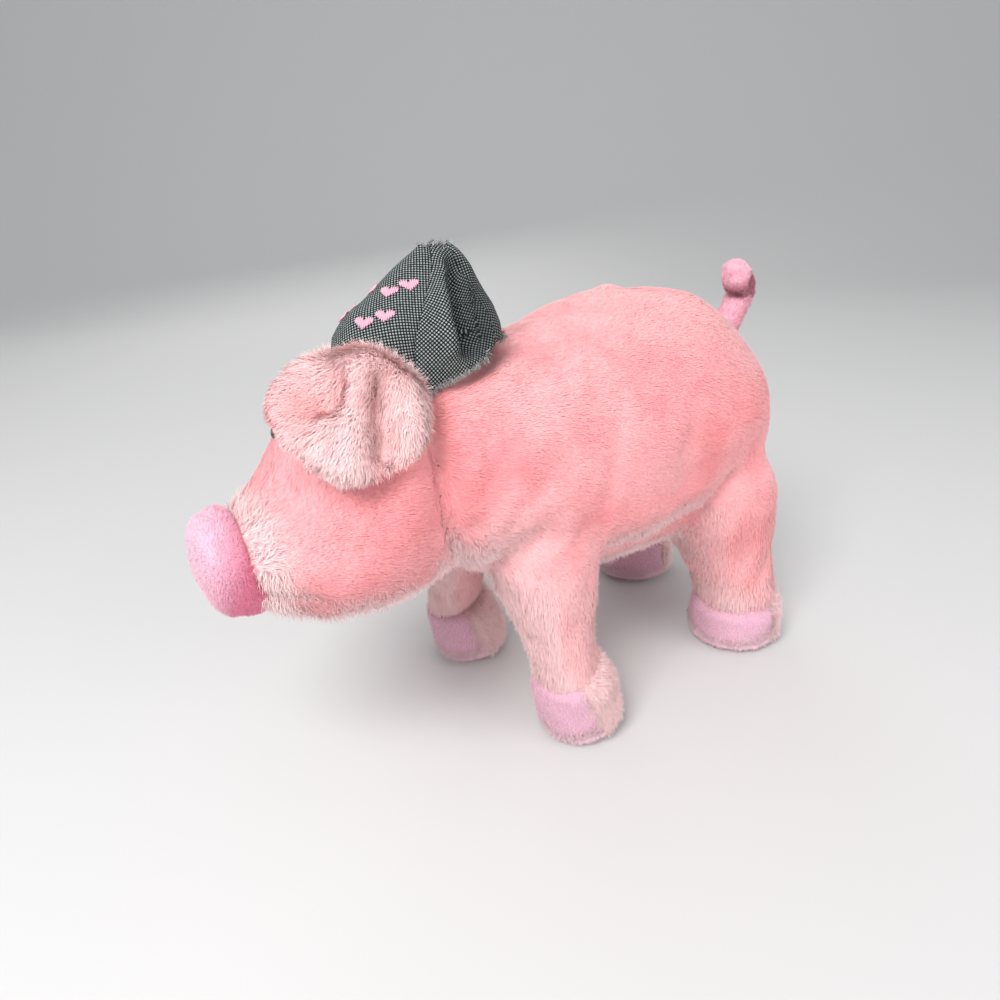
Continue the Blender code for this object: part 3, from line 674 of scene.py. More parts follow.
# %% Puckers and folds of head and body
BODY_LUMPS = [
    ((608, 290), 0.010, 0.0030), ((584, 300), 0.014, -0.0026), ((640, 292), 0.016, 0.0010),
    ((682, 298), 0.032, 0.0036), ((525, 452), 0.016, 0.0016), ((560, 470), 0.014, -0.0012),
    ((650, 420), 0.030, 0.0012), ((500, 330), 0.020, -0.0015), ((575, 400), 0.020, 0.0010),
    ((560, 520), 0.020, 0.0012), ((300, 500), 0.020, 0.0010), ((400, 560), 0.020, -0.0010),
    ((262, 572), 0.012, 0.0012), ((243, 530), 0.008, 0.0016), ((256, 562), 0.008, 0.0014),
]
BODY_GROOVES = [
    ([(624, 395), (620, 440), (612, 500)], 0.0045, 0.0011),
    ([(700, 400), (690, 460), (672, 520)], 0.0060, 0.0010),
    ([(604, 552), (650, 538), (704, 512), (732, 480)], 0.0040, 0.0034),
    ([(608, 532), (650, 518), (696, 492)], 0.0080, -0.0016),
]
SNOUT_GATHERS = 9
GATHER_ENDS = ((-0.134, 0.021), (-0.119, 0.029))
SNOUT_AXIS_Z = 0.120
PILE_ROOM = 0.0016

for pixel, radius, height in BODY_LUMPS:
    for place in seen_on(toy_form, pixel):
        raise_spot(toy_form, place, radius, height)
for pixels, width, depth in BODY_GROOVES:
    press_line(toy_form, seen_on(toy_form, *pixels), width, depth)
for index in range(SNOUT_GATHERS):
    turn = math.tau * (index + 0.3) / SNOUT_GATHERS
    gather = [
        Vector((x_place, math.sin(turn) * reach, SNOUT_AXIS_Z + math.cos(turn) * reach))
        for x_place, reach in GATHER_ENDS
    ]
    press_line(toy_form, gather, 0.0022, 0.0014 if index % 2 else 0.0020)
roughen(toy_form, 0.030, 0.0016, 3)
roughen(toy_form, 0.012, 0.0005, 8)
places, normals = read_points(toy_form)
write_points(toy_form, places - PILE_ROOM * normals)
print("the stuffed form has", len(toy_form.data.vertices), "points")

# %% [markdown]
# The pile lies back along the body and down the legs. It grows long and pale at the throat, under the
# belly and along the front and back edges of the legs, which is where the cut edges of the plush meet, and
# part of that paleness is painted sheen. The tops and the brow get a painted highlight, and the neck seam,
# the shoulder and the low parts are painted deeper, partly as brushed pile and partly as painted shade.

# %% Comb head, body and legs
# Painted highlights on the brow, where the light falls.
HIGHLIGHT_SPOTS = [((236, 455), 0.010), ((262, 425), 0.014)]
HIGHLIGHT_SPOT_SHARE = 0.3
# Spots painted deeper, partly as brushed pile and partly as painted shade on the shoulder under the ear and
# hat and on the low parts.
DEEP_AND_SHADED_SPOTS = [
    ((465, 430), 0.028, 0.75), ((455, 500), 0.024, 0.6), ((700, 400), 0.034, 0.55),
    ((640, 400), 0.020, 0.4), ((745, 430), 0.030, 0.4), ((700, 560), 0.026, 0.5),
    ((600, 500), 0.022, 0.4), ((400, 510), 0.024, 0.6), ((340, 560), 0.022, 0.4), ((640, 560), 0.030, 0.6),
]
BETWEEN_LEGS_X = 0.04


def glow(places, spot, radius):
    """1 at a spot, fading out past this radius."""
    return np.exp(-((places - np.array(spot)) ** 2).sum(1) / radius ** 2)


places, normals = read_points(toy_form)
x, y, z = places.T
on_head = 1 - smoothstep(behind, -0.004, 0.004)
on_leg = (1 - smoothstep(z, 0.075, 0.105)) * (1 - on_head)
back = 0.85 - 0.75 * on_leg + 0.1 * on_head
up = -0.45 - 0.55 * on_leg + 0.37 * on_head
flow = np.stack([back, 0.0 * x, up], axis=1)
at_seam = np.exp(-(behind / 0.0035) ** 2)[:, None]
flow = flow * (1 - at_seam) + np.array((0.12, 0, -1)) * at_seam
edges = smoothstep(np.abs(normals[:, 0]), 0.35, 0.8) * on_leg
under = smoothstep(-normals[:, 2], 0.25, 0.8) * (1 - on_leg)
throat = smoothstep(x, -0.090, -0.062) * (1 - smoothstep(x, -0.050, -0.020))
throat = throat * (1 - smoothstep(z, 0.105, 0.140))
rump = smoothstep(x, 0.120, 0.142)
gathers = 1 - smoothstep(x, -0.131, -0.118)
ankle = 1 - smoothstep(z, 0.034, 0.048)
front_leg = on_leg * (x < BETWEEN_LEGS_X)
# Paler fur at the throat, gathers, ankles and front legs; on edges and undersides it is partly painted
# sheen.
pale = 0.06 + 0.25 * edges + 0.20 * edges * front_leg + 0.10 * under + 0.45 * throat
pale = pale + 0.20 * rump + 0.55 * gathers + 0.4 * ankle + 0.22 * front_leg
# Painted highlight on the upward-facing parts of head and body.
pale = pale + 0.10 * smoothstep(normals[:, 2], 0.2, 0.8) * (1 - on_leg)
for pixel, radius in HIGHLIGHT_SPOTS:
    for place in seen_on(toy_form, pixel):
        pale = pale + HIGHLIGHT_SPOT_SHARE * glow(places, place, radius)
# Painted shade in the neck seam's groove, and a deeper band behind the seam, partly painted shade.
warm = 0.7 * smoothstep(behind, -0.001, 0.001) * (1 - smoothstep(behind, 0.003, 0.014)) * (z > 0.1)
warm = warm + 1.2 * np.exp(-(behind / 0.0016) ** 2)
for pixel, radius, share in DEEP_AND_SHADED_SPOTS:
    for place in seen_on(toy_form, pixel):
        warm = warm + share * glow(places, place, radius)
sewn = 1 - smoothstep(np.abs(behind), 0.0010, 0.0030)
in_snout = nearest_of(toy_form, ["snout_band"])[0] < 0.0012
below_ankle = z < np.where(x < BETWEEN_LEGS_X, 0.0325, 0.0265)
long = 1 + 0.7 * np.maximum(edges, throat) + 0.4 * under + 1.3 * ankle + 0.6 * gathers
comb(
    toy_form, flow, grow=~(in_snout | below_ankle), long=long * (1 - 0.5 * sewn),
    pale=np.clip(pale, 0, 0.8), warm=warm,
)

# %% [markdown]
# The real toy is sewn from stuffed pieces, so the form is parted again: the head from the body at the
# neck seam, and each leg by a slanting cut at the hip. Cutting after the combing keeps the pile running
# on across the seams. Each piece is planted, and closed where it was cut.

# %% Part the form again and plant its pile
BODY_PILE = pile(0.0027, 0.00040, bend=0.45, lift=0.12, scatter=0.18, clump=0.26, clump_size=0.007)
LEG_PILE = pile(0.0030, 0.00040, bend=0.6, lift=0.22, scatter=0.22, clump=0.40, clump_size=0.006)
HEAD_PILE = pile(0.0027, 0.00038, bend=0.45, lift=0.12, scatter=0.18, clump=0.28, clump_size=0.006)
FRINGE = pile(0.0056, 0.00028, bend=1.0, lift=0.55, scatter=0.55, clump=1.5, clump_size=0.006)
HIP_CUT = {
    side: (Vector((0, turn * 0.033, 0.080)), Vector((0, turn * 0.55, -0.835)))
    for side, turn in zip(SIDES, (-1, 1))
}
BETWEEN_LEGS = Vector((BETWEEN_LEGS_X, 0, 0))


def plant_fringe(form, name, count, seed):
    """Long loose fibres at the plush's brushed edges: chin, belly, snout seam, rump and shins."""
    places, normals = read_points(form)
    x, y, z = places.T
    low = smoothstep(-normals[:, 2], 0.25, 0.9) * (z > 0.06)
    shin = 0.8 * smoothstep(np.abs(normals[:, 0]), 0.5, 1.0) * (z < 0.092) * (z > 0.036)
    throat = (1 - smoothstep(np.abs(x + 0.062), 0.006, 0.016)) * (1 - smoothstep(z, 0.105, 0.130))
    rump = 0.5 * smoothstep(normals[:, 0], 0.7, 0.95) * (x > 0.1)
    wrinkled = (1 - smoothstep(x, SNOUT_SEAM_X, -0.119)) * (x > -0.1335)
    share = np.clip(low + shin + throat + rump + wrinkled, 0, 1)
    level = smoothstep(normals[:, 2], 0.1, 0.5)
    flow = np.stack([0.25 + 0.7 * level, 0 * x, -0.8 + 0.8 * level], axis=1)
    # The fringe is painted pale, partly as pale fibres and partly as painted sheen at the edges.
    comb(form, flow, grow=share, long=0.35 + 0.65 * share, pale=0.7 * share + 0.3 * wrinkled)
    return plant(form, name, count, FRINGE, seed)


def parted(form, name, wanted, planes=()):
    """The part of a form where its points are wanted, inside these planes, each a point and the way out."""
    bm = bmesh.new()
    bm.from_mesh(form.data)
    bm.verts.ensure_lookup_table()
    spare = [face for face in bm.faces if sum(wanted[corner.index] for corner in face.verts) < 2]
    bmesh.ops.delete(bm, geom=spare, context="FACES")
    for point, out in planes:
        everything = bm.verts[:] + bm.edges[:] + bm.faces[:]
        bmesh.ops.bisect_plane(bm, geom=everything, plane_co=point, plane_no=out, clear_outer=True)
    return new_object(name, bm)


def finish_stuffed(item, material, node_names):
    """Close a part where it was cut, dress it, and let it stand for its solids of the frame."""
    bm = bmesh.new()
    bm.from_mesh(item.data)
    bmesh.ops.holes_fill(bm, edges=[edge for edge in bm.edges if edge.is_boundary], sides=0)
    bm.to_mesh(item.data)
    bm.free()
    dress(item, material)
    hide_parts(*node_names)


body = parted(toy_form, "body", behind > 0, HIP_CUT.values())
for index in range(3):
    dress(plant(body, f"body_pile_{index + 1}", 84000, BODY_PILE, index), CORAL_PLUSH)
dress(plant_fringe(body, "body_fringe", 22000, 7), FRINGE_PLUSH)
finish_stuffed(body, CORAL_PLUSH, BODY_NODES)
for leg in LEGS:
    end, side = leg.split("_")
    point, out = HIP_CUT[side]
    ahead = Vector((1, 0, 0)) if end == "front" else Vector((-1, 0, 0))
    item = parted(toy_form, f"leg_{leg}", behind > 0, [(point, -out), (BETWEEN_LEGS, ahead)])
    dress(plant(item, f"leg_{leg}_pile", 28000, LEG_PILE, 11), CORAL_PLUSH)
    dress(plant_fringe(item, f"leg_{leg}_fringe", 6000, 12), FRINGE_PLUSH)
    finish_stuffed(item, CORAL_PLUSH, LEG_NODES[leg])
head = parted(toy_form, "head", behind <= 0)
bpy.data.objects.remove(toy_form)
for index in range(2):
    dress(plant(head, f"head_pile_{index + 1}", 68000, HEAD_PILE, 21 + index), HEAD_PLUSH)
dress(plant_fringe(head, "head_fringe", 16000, 27), FRINGE_PLUSH)
finish_stuffed(head, HEAD_PLUSH, HEAD_NODES)

# %% [markdown]
# The snout is a drum of velour: a band sewn to the head, and a domed disc sewn to the band. Velour has a
# pile too, but one of a millimetre or two, so its fibres are tiny and stand closer.

# %% The snout
SNOUT_NAP = pile(0.0016, 0.00026, bend=1.0, lift=0.5, scatter=0.8, clump=0.6, clump_size=0.003)


def rounded_hull(name, node_names, square, rounds):
    """A closed form round some convex solids, with its corners rounded and its size kept."""
    bm = joined(node_names)
    hull = bmesh.ops.convex_hull(bm, input=bm.verts)
    outside = {face for face in hull["geom"] if isinstance(face, bmesh.types.BMFace)}
    bmesh.ops.delete(bm, geom=[face for face in bm.faces if face not in outside], context="FACES")
    bmesh.ops.delete(bm, geom=[corner for corner in bm.verts if not corner.link_faces], context="VERTS")
    form = even_skin(name, bm, square)
    before = read_points(form)[0]
    soften(form, rounds)
    after = read_points(form)[0]
    middle = (before.min(0) + before.max(0)) / 2
    grow = (before.max(0) - before.min(0)) / (after.max(0) - after.min(0))
    write_points(form, middle + (after - middle) * grow)
    return form


snout = rounded_hull("snout", ["snout_band", "snout_disc"], 0.0013, 30)
band, disc = nearest_of(snout, ["snout_band", "snout_disc"])
places, normals = read_points(snout)
low = smoothstep(0.124 - places[:, 2], 0, 0.018) * smoothstep(places[:, 0], -0.146, -0.131)
disc_seam = np.exp(-((band - disc) / 0.001) ** 2)
places = places - (0.0006 + 0.0005 * disc_seam)[:, None] * normals
dome = np.clip((places[:, 2] - 0.121) / 0.024, -1, 1) ** 2 * smoothstep(-places[:, 0], 0.132, 0.144)
places = places + low[:, None] * np.array((0.0062, 0, -0.0012))
write_points(snout, places + dome[:, None] * np.array((0.0050, 0, 0)))
roughen(snout, 0.010, 0.0008, 4)
places, normals = read_points(snout)
x, y, z = places.T
# The velour is paler to the upper left and deeper at the bottom: partly its own colour, partly a painted
# highlight and painted shade from the light above left.
lit = np.clip(0.62 + (z - 0.122) / 0.034 - (x + 0.146) / 0.015, 0, 0.8)
on_disc = smoothstep(-normals[:, 0], 0.3, 0.8)
on_top = smoothstep(normals[:, 2], 0.2, 0.8)
flow = np.stack([0.7 * on_top, 0.7 * on_top + 0.6 * on_disc, on_top + 0.3 * on_disc - 1], axis=1)
comb(snout, flow, pale=lit, warm=0.8 * smoothstep(0.112 - z, 0, 0.012))
dress(plant(snout, "snout_pile", 44000, SNOUT_NAP, 31), LILAC_VELOUR)
dress(snout, LILAC_VELOUR)
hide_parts("snout_band", "snout_disc")

# %% [markdown]
# The eyes are domes of black plastic on a shank that is locked inside by a washer. A sphere, flattened
# along its axis, is rounder than the frame's faceted dome. The washers stay as they are, out of sight.

# %% The eyes
EYE_RADIUS = 0.0047
EYE_FLATNESS = 0.7
EYE_OUT = 0.0004


def plastic(name, colour, roughness):
    """Moulded plastic with a faint unevenness in its colour."""
    material, shader = new_material(name, {"Roughness": roughness})
    wire = ShaderWiring(material.node_tree)
    lighter = (*[value * 1.2 for value in colour], 1.0)
    wire.feed(shader.inputs["Base Color"], wire.mix(wire.clouds(300.0), (*colour, 1.0), lighter))
    return material


EYE_BLACK = plastic("eye_black", (0.012, 0.010, 0.010), 0.08)
WASHER_WHITE = plastic("washer_white", (0.75, 0.74, 0.70), 0.5)
for side in SIDES:
    low, high = [Vector(corner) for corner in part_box(f"eye_{side}")]
    away = Vector((-0.734, -0.323 if side == "left" else 0.323, 0.597)).normalized()
    bm = bmesh.new()
    bmesh.ops.create_uvsphere(bm, u_segments=28, v_segments=18, radius=EYE_RADIUS)
    bmesh.ops.scale(bm, vec=(1, 1, EYE_FLATNESS), verts=bm.verts)
    bmesh.ops.rotate(bm, matrix=away.to_track_quat("Z", "Y").to_matrix(), verts=bm.verts)
    bmesh.ops.translate(bm, vec=(low + high) / 2 + EYE_OUT * away, verts=bm.verts)
    eye = dress(new_object(f"eye_dome_{side}", bm), EYE_BLACK)
    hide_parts(f"eye_{side}")
    nodes[f"eye_washer_{side}"].data.materials.clear()
    nodes[f"eye_washer_{side}"].data.materials.append(WASHER_WHITE)

# %% [markdown]
# A hoof is a cup of velour in front, long pale plush behind, and an oval sole set in with a rim. We round
# the three solids into one form, find for each point which solid is nearest, and press the seams in
# where two are equally near.

# %% The shape of a hoof
HOOF_PARTS = ("hoof_front", "hoof_back", "hoof_sole")
FUR_OVER_VELOUR = {"front": 0.009, "rear": 0.005}
RIM_HEIGHT = 0.0022


def hoof_distances(form, leg):
    """The distances of a form's points from the hoof's front, back and sole, less what each gives way."""
    gives = np.array([[0], [FUR_OVER_VELOUR[leg.split("_")[0]]], [RIM_HEIGHT]])
    return nearest_of(form, [f"{part}_{leg}" for part in HOOF_PARTS]) - gives


def shape_hoof(leg):
    """A rounded hoof with its seams pressed in, its points' heights, and their distances from its parts."""
    hoof = rounded_hull(f"hoof_{leg}", [f"{part}_{leg}" for part in HOOF_PARTS], 0.0014, 22)
    front, back, sole = hoof_distances(hoof, leg)
    near = np.sort([front, back, sole], axis=0)
    seam_share = np.exp(-((near[1] - near[0]) / 0.0012) ** 2)
    places, normals = read_points(hoof)
    lumps = np.array([noise.noise(Vector(place) / 0.009) for place in places])
    at_sole = near[0] == sole
    deep = 0.0004 + 0.0009 * (at_sole | (sole < near[1] + 1e-4))
    places = places + (0.0008 * lumps - deep * seam_share - 0.0006)[:, None] * normals
    top = places[:, 2].max()
    tuck = 0.16 * smoothstep(places[:, 2], top - 0.009, top)
    middle = places.mean(0) * (1, 1, 0) + (0, 0, 1) * places
    places = places + tuck[:, None] * (middle - places)
    places[:, 2] = np.maximum(places[:, 2], 0.0003)
    write_points(hoof, places)
    return hoof, places[:, 2], front, back, sole

# %% [markdown]
# The pile differs within one hoof: a short nap in front, long fur behind and along the stitched rim. One
# planting covers it all, with its length painted on, and every fibre then takes the colour of the cloth
# that it stands on. A finer edging grows along the rim and where the two cloths meet.

# %% The hooves
HOOF_PILE = pile(0.0048, 0.00032, bend=1.0, lift=0.55, scatter=0.55, clump=1.0, clump_size=0.003)
HOOF_EDGING = pile(0.0030, 0.00028, bend=1.0, lift=1.0, scatter=0.9, clump=1.0, clump_size=0.003)

for leg in LEGS:
    hoof, z, front, back, sole = shape_hoof(leg)
    top = z.max()
    level = read_points(hoof)[1][:, 2]
    plushy = (back < np.minimum(front, sole)) * 1.0
    rim = np.exp(-((sole - np.minimum(front, back)) / 0.003) ** 2)
    rim = np.maximum(rim, 0.7 * smoothstep(z, top - 0.0025, top - 0.0005))
    standing = (level > -0.6) & (z > 0.0014)
    off_floor = smoothstep(z, 0.001, 0.009)
    comb(
        hoof, np.stack([0.25 + 0 * off_floor, 0 * off_floor, 0.1 - 1.0 * off_floor], axis=1),
        grow=(0.45 + 0.55 * np.maximum(plushy, rim)) * standing,
        long=(0.34 + 0.66 * plushy + 0.5 * rim) * (0.4 + 0.6 * off_floor),
        pale=np.clip(0.78 + 0.2 * rim, 0, 0.95),
    )
    hoof_pile = plant(hoof, f"hoof_{leg}_pile", 19000, HOOF_PILE, 41)
    border = np.exp(-((front - back) / 0.0016) ** 2)
    above = smoothstep(z, 0.0030, 0.0045)
    comb(hoof, (0.1, 0, -0.6), grow=np.maximum(rim, border) * standing * above, pale=0.85)
    dress(plant(hoof, f"hoof_{leg}_edging", 4000, HOOF_EDGING, 43), PALE_PLUSH)
    for item in (hoof, hoof_pile):
        dress(item, LILAC_VELOUR)
        item.data.materials.append(PALE_PLUSH)
    to_front, to_back, to_sole = hoof_distances(hoof_pile, leg)
    tone = np.empty(len(hoof_pile.data.vertices))
    hoof_pile.data.attributes["tone"].data.foreach_get("value", tone)
    furry = to_back - 0.0024 * tone < np.minimum(to_front, to_sole)
    for item, is_furry in ((hoof_pile, furry), (hoof, plushy)):
        for face in item.data.polygons:
            face.material_index = int(is_furry[face.vertices[0]])
    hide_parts(*[f"{part}_{leg}" for part in HOOF_PARTS])

# %% [markdown]
# An ear is two layers of long pale plush, sewn along the rim and turned. Its root is gathered into the
# seam beside the hat, which throws deep creases down the flap, and its tip curls over. The near ear is
# drawn into that shape at picture points. The far one shows less of itself and has one crease.

# %% The form of an ear
EAR_ROOTS = {"left": Vector((-0.0759, -0.0214, 0.1846)), "right": Vector((-0.0677, 0.0271, 0.1827))}
EAR_DOWN = {"left": Vector((-0.7498, -0.5068, -0.4253)), "right": Vector((-0.1827, 0.7532, -0.632))}
EAR_PULLS = [
    ((368, 374), 0.018, (0.0004, 0.0050, 0.0050)), ((422, 408), 0.016, (-0.0010, 0, 0)),
    ((308, 456), 0.012, (0.0022, 0.0018, 0)), ((274, 408), 0.014, (0.0014, 0.0004, 0)),
]
EAR_SWELLING = (368, 376)
EAR_CREASES = [[(384, 380), (384, 400), (385, 425), (386, 450)], [(338, 380), (334, 394), (329, 406)]]
EAR_CREASE_DEPTHS = (0.0042, 0.0034)
EAR_RIDGES = [
    [(362, 368), (355, 420), (352, 472)], [(409, 385), (411, 430), (408, 468)],
    [(310, 368), (290, 385), (279, 408)], [(330, 425), (322, 452)],
]
EAR_LOBE = [(292, 384), (294, 412)]


def shape_ear(side):
    """An ear's form, and the lines of its creases and its ridges."""
    ear = even_skin(f"ear_{side}", joined([f"ear_outer_{side}", f"ear_lining_{side}"]), 0.0016)
    soften(ear, 4)
    creases = [[EAR_ROOTS[side] + reach * EAR_DOWN[side] for reach in (0.008, 0.038)]]
    ridges = []
    if side == "left":
        for pixel, radius, shift in EAR_PULLS:
            pull(ear, pixel, radius, shift)
        raise_spot(ear, seen_on(ear, EAR_SWELLING)[0], 0.016, 0.0030)
        creases = [seen_on(ear, *pixels) for pixels in EAR_CREASES]
        ridges = [seen_on(ear, *pixels) for pixels in EAR_RIDGES]
    for line, depth in zip(creases, EAR_CREASE_DEPTHS):
        press_line(ear, line, 0.0048, depth)
    for line in ridges:
        press_line(ear, line, 0.0050, -0.0026)
    soften(ear, 1)
    places, normals = read_points(ear)
    write_points(ear, places - 0.0012 * normals)
    return ear, creases, ridges

# %% [markdown]
# The fur of an ear fans out from its root and turns over at the tip. Planting it twice makes it thick
# and keeps each planting light.

# %% The ears
EAR_PILE = pile(0.0056, 0.00034, bend=1.0, lift=0.42, scatter=0.42, clump=0.75, clump_size=0.003)
OVER_THE_EDGE = np.array((0.6, 0.6, 0.3))


def hang_ear(item):
    """Give a piece of an ear its looks, with its place baked into its points."""
    item.data.materials.clear()
    item.data.materials.append(PALE_PLUSH)
    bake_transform(item)


for side in SIDES:
    ear, creases, ridges = shape_ear(side)
    places, normals = read_points(ear)
    root, down = np.array(EAR_ROOTS[side]), np.array(EAR_DOWN[side])
    away = places - (root - 0.012 * down)
    over = smoothstep(-normals @ down, 0.45, 0.85)[:, None]
    flow = away / np.linalg.norm(away, axis=1, keepdims=True) * (1 - over) + OVER_THE_EDGE * over
    lobe = near_line(places, seen_on(ear, *EAR_LOBE), 0.010) if side == "left" else 0.0
    in_crease = sum(near_line(places, line, 0.0058) for line in creases)
    on_ridge = sum((near_line(places, line, 0.0060) for line in ridges), np.zeros(len(places)))
    outer, lining = nearest_of(ear, [f"ear_outer_{side}", f"ear_lining_{side}"])
    inner = smoothstep(outer - lining, 0.0005, 0.0020)
    # Ridges are painted paler as a painted highlight; creases and the curled lobe are painted deeper,
    # partly where the pile parts and partly as painted shade.
    pale = 0.85 + 0.10 * on_ridge - 0.45 * in_crease - 0.50 * lobe
    comb(
        ear, flow, long=1.0 - 0.3 * np.clip(in_crease, 0, 1) - 0.3 * lobe - 0.4 * inner,
        pale=np.clip(pale, 0.05, 0.95), warm=0.5 * in_crease,
    )
    for index in range(2):
        hang_ear(plant(ear, f"ear_{side}_pile_{index + 1}", 42000, EAR_PILE, 51 + index))
    hang_ear(ear)
    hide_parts(f"ear_outer_{side}", f"ear_lining_{side}")

# %% [markdown]
# The hat is four panels of coarse woven cloth. Each starts as a flat grid, the way cloth starts, and
# every point of the grid is carried to its place on the crown: straight up the front to a pinched peak,
# steep behind. The hem follows the plush that it is sewn to, and is turned up at the left of the rear.

# %% The shape of the crown
HAT_PEAK_X = -0.0376
HAT_REACHES = (0.0510, 0.0190, 0.0270)
HAT_BASE = 0.1800
HAT_CROWN = 0.0390
CROWN_SHARES = np.array([
    (0.000, 1.000, 1.000, 1.000), (0.256, 0.940, 0.960, 0.960), (0.436, 0.800, 0.875, 0.860),
    (0.615, 0.620, 0.730, 0.700), (0.795, 0.400, 0.560, 0.460), (0.923, 0.250, 0.380, 0.240),
    (1.000, 0.180, 0.220, 0.030),
])
HEM_GAP = 0.0012
HEM_LIFT = 0.0100
HEM_LIFT_TURN = 1.95
HEM_LIFT_SPREAD = 0.75
scalp = surface_of(head, body)


def crown_point(turn, height):
    """A point of the hat: the turn runs from the front to the toy's left, the height is above the floor."""
    up = max((height - HAT_BASE) / HAT_CROWN, 0)
    front, rear, wide = [
        reach * np.interp(up, CROWN_SHARES[:, 0], shares)
        for reach, shares in zip(HAT_REACHES, CROWN_SHARES.T[1:])
    ]
    reach = front if math.cos(turn) > 0 else rear
    return Vector((HAT_PEAK_X - reach * math.cos(turn), -wide * math.sin(turn), height))


def hem_height(turn):
    """How high the hem runs here: just above the plush, and turned up at the left of the rear."""
    rim = crown_point(turn, HAT_BASE)
    hit = scalp.ray_cast(Vector((rim.x, rim.y, 0.3)), Vector((0, 0, -1)))[0]
    turned_up = HEM_LIFT * math.exp(-((turn - HEM_LIFT_TURN) / HEM_LIFT_SPREAD) ** 2)
    return min(hit.z if hit else HAT_BASE, HAT_BASE) + HEM_GAP + turned_up


for place, turn in (("in front", 0), ("behind", math.pi)):
    print("the hem's height", place, "is", round(1000 * hem_height(turn)), "mm")

# %% [markdown]
# The cloth is a basket weave: dark yarn, with pale yarn showing as a dot wherever it comes up, every
# second place, row after row. The pattern runs on each panel's own map in metres, measured along its
# threads, so it follows the cloth round the crown and keeps its 1.5 mm pitch.

# %% The woven cloth
WEAVE_PITCH = 0.0015
DARK_YARN = (0.008, 0.011, 0.011, 1.0)
PALE_YARN = (0.38, 0.42, 0.41, 1.0)


def woven(name):
    """A basket weave of dark and pale yarn on a map in metres."""
    material, shader = new_material(name, {"Roughness": 0.75, "Specular IOR Level": 0.12})
    wire = ShaderWiring(material.node_tree)
    split = wire.add("ShaderNodeSeparateXYZ", {"Vector": wire.add("ShaderNodeUVMap").outputs[0]})
    waves = [
        wire.number("COSINE", wire.number("MULTIPLY", split.outputs[index], math.tau / WEAVE_PITCH))
        for index in (0, 1)
    ]
    over = wire.number("MULTIPLY", *waves)
    slub = wire.spread(wire.clouds(900.0), 0.55, 1.15, 0.3, 0.7)
    dots = wire.number("MULTIPLY", wire.spread(over, 0.0, 1.0, 0.06, 0.50), slub)
    # The dots are dimmed where shade is painted on a panel and brightened where a highlight is painted.
    dots = wire.number("MULTIPLY", dots, wire.spread(wire.stored("shade"), 1.5, 0.10))
    wire.feed(shader.inputs["Base Color"], wire.mix(dots, DARK_YARN, PALE_YARN))
    bump = wire.add("ShaderNodeBump", {"Height": over, "Strength": 0.5, "Distance": 0.0004})
    wire.feed(shader.inputs["Normal"], bump.outputs[0])
    return material


BASKET_CLOTH = woven("basket_cloth")
HAT_THREAD, shader, wire = cloth_shader("hat_thread", 0.8, 0.2, 0.5)
thread_colour = wire.mix(wire.stored("tone"), (0.05, 0.06, 0.06, 1.0), (0.55, 0.57, 0.55, 1.0))
wire.feed(shader.inputs["Base Color"], thread_colour)

# %% [markdown]
# A panel starts as a flat grid, whose rows and columns run as the threads do. Each of its points is
# carried to the crown between two turns of the circle, from the hem up to the peak.

# %% The hat's panels
STEP = math.tau / 32
HAT_PLANS = [
    ("hat_front", -5, 5, 56), ("hat_left", 5, 10, 36), ("hat_rear", 10, 22, 56), ("hat_right", 22, 27, 36),
]
HAT_ROWS = 56
HAT_TOP = HAT_BASE + HAT_CROWN


def hat_panel(name, start, end, columns):
    """A flat grid carried onto the crown, between two turns. Its middle thread is marked by its height."""
    bm = bmesh.new()
    bmesh.ops.create_grid(bm, x_segments=columns, y_segments=HAT_ROWS, size=0.5)
    up = bm.verts.layers.float.new("up")
    for corner in bm.verts:
        turn = start + (end - start) * (corner.co.x + 0.5)
        share = corner.co.y + 0.5
        corner[up] = share if abs(corner.co.x) < 0.5 / columns else -1
        low = hem_height(turn)
        corner.co = crown_point(turn, low + (HAT_TOP - low) * share)
    bmesh.ops.recalc_face_normals(bm, faces=bm.faces)
    middle = Vector((HAT_PEAK_X, 0, 0.19))
    if sum(face.normal.dot(face.calc_center_median() - middle) for face in bm.faces) < 0:
        bmesh.ops.reverse_faces(bm, faces=bm.faces)
    return new_object(name, bm)


hat = [hat_panel(name, STEP * start, STEP * end, columns) for name, start, end, columns in HAT_PLANS]
print("panels:", {panel.name: len(panel.data.polygons) for panel in hat})

# %% [markdown]
# The cloth is stiff and too big for the head, so it stands in one deep fold behind the side seam. The
# fold is pressed along lines that the picture shows, with a raised lip before it and a soft pocket
# behind. The same lines, with one more at the rear, tell where shade is painted on the weave, and where a
# highlight is painted on the lip.

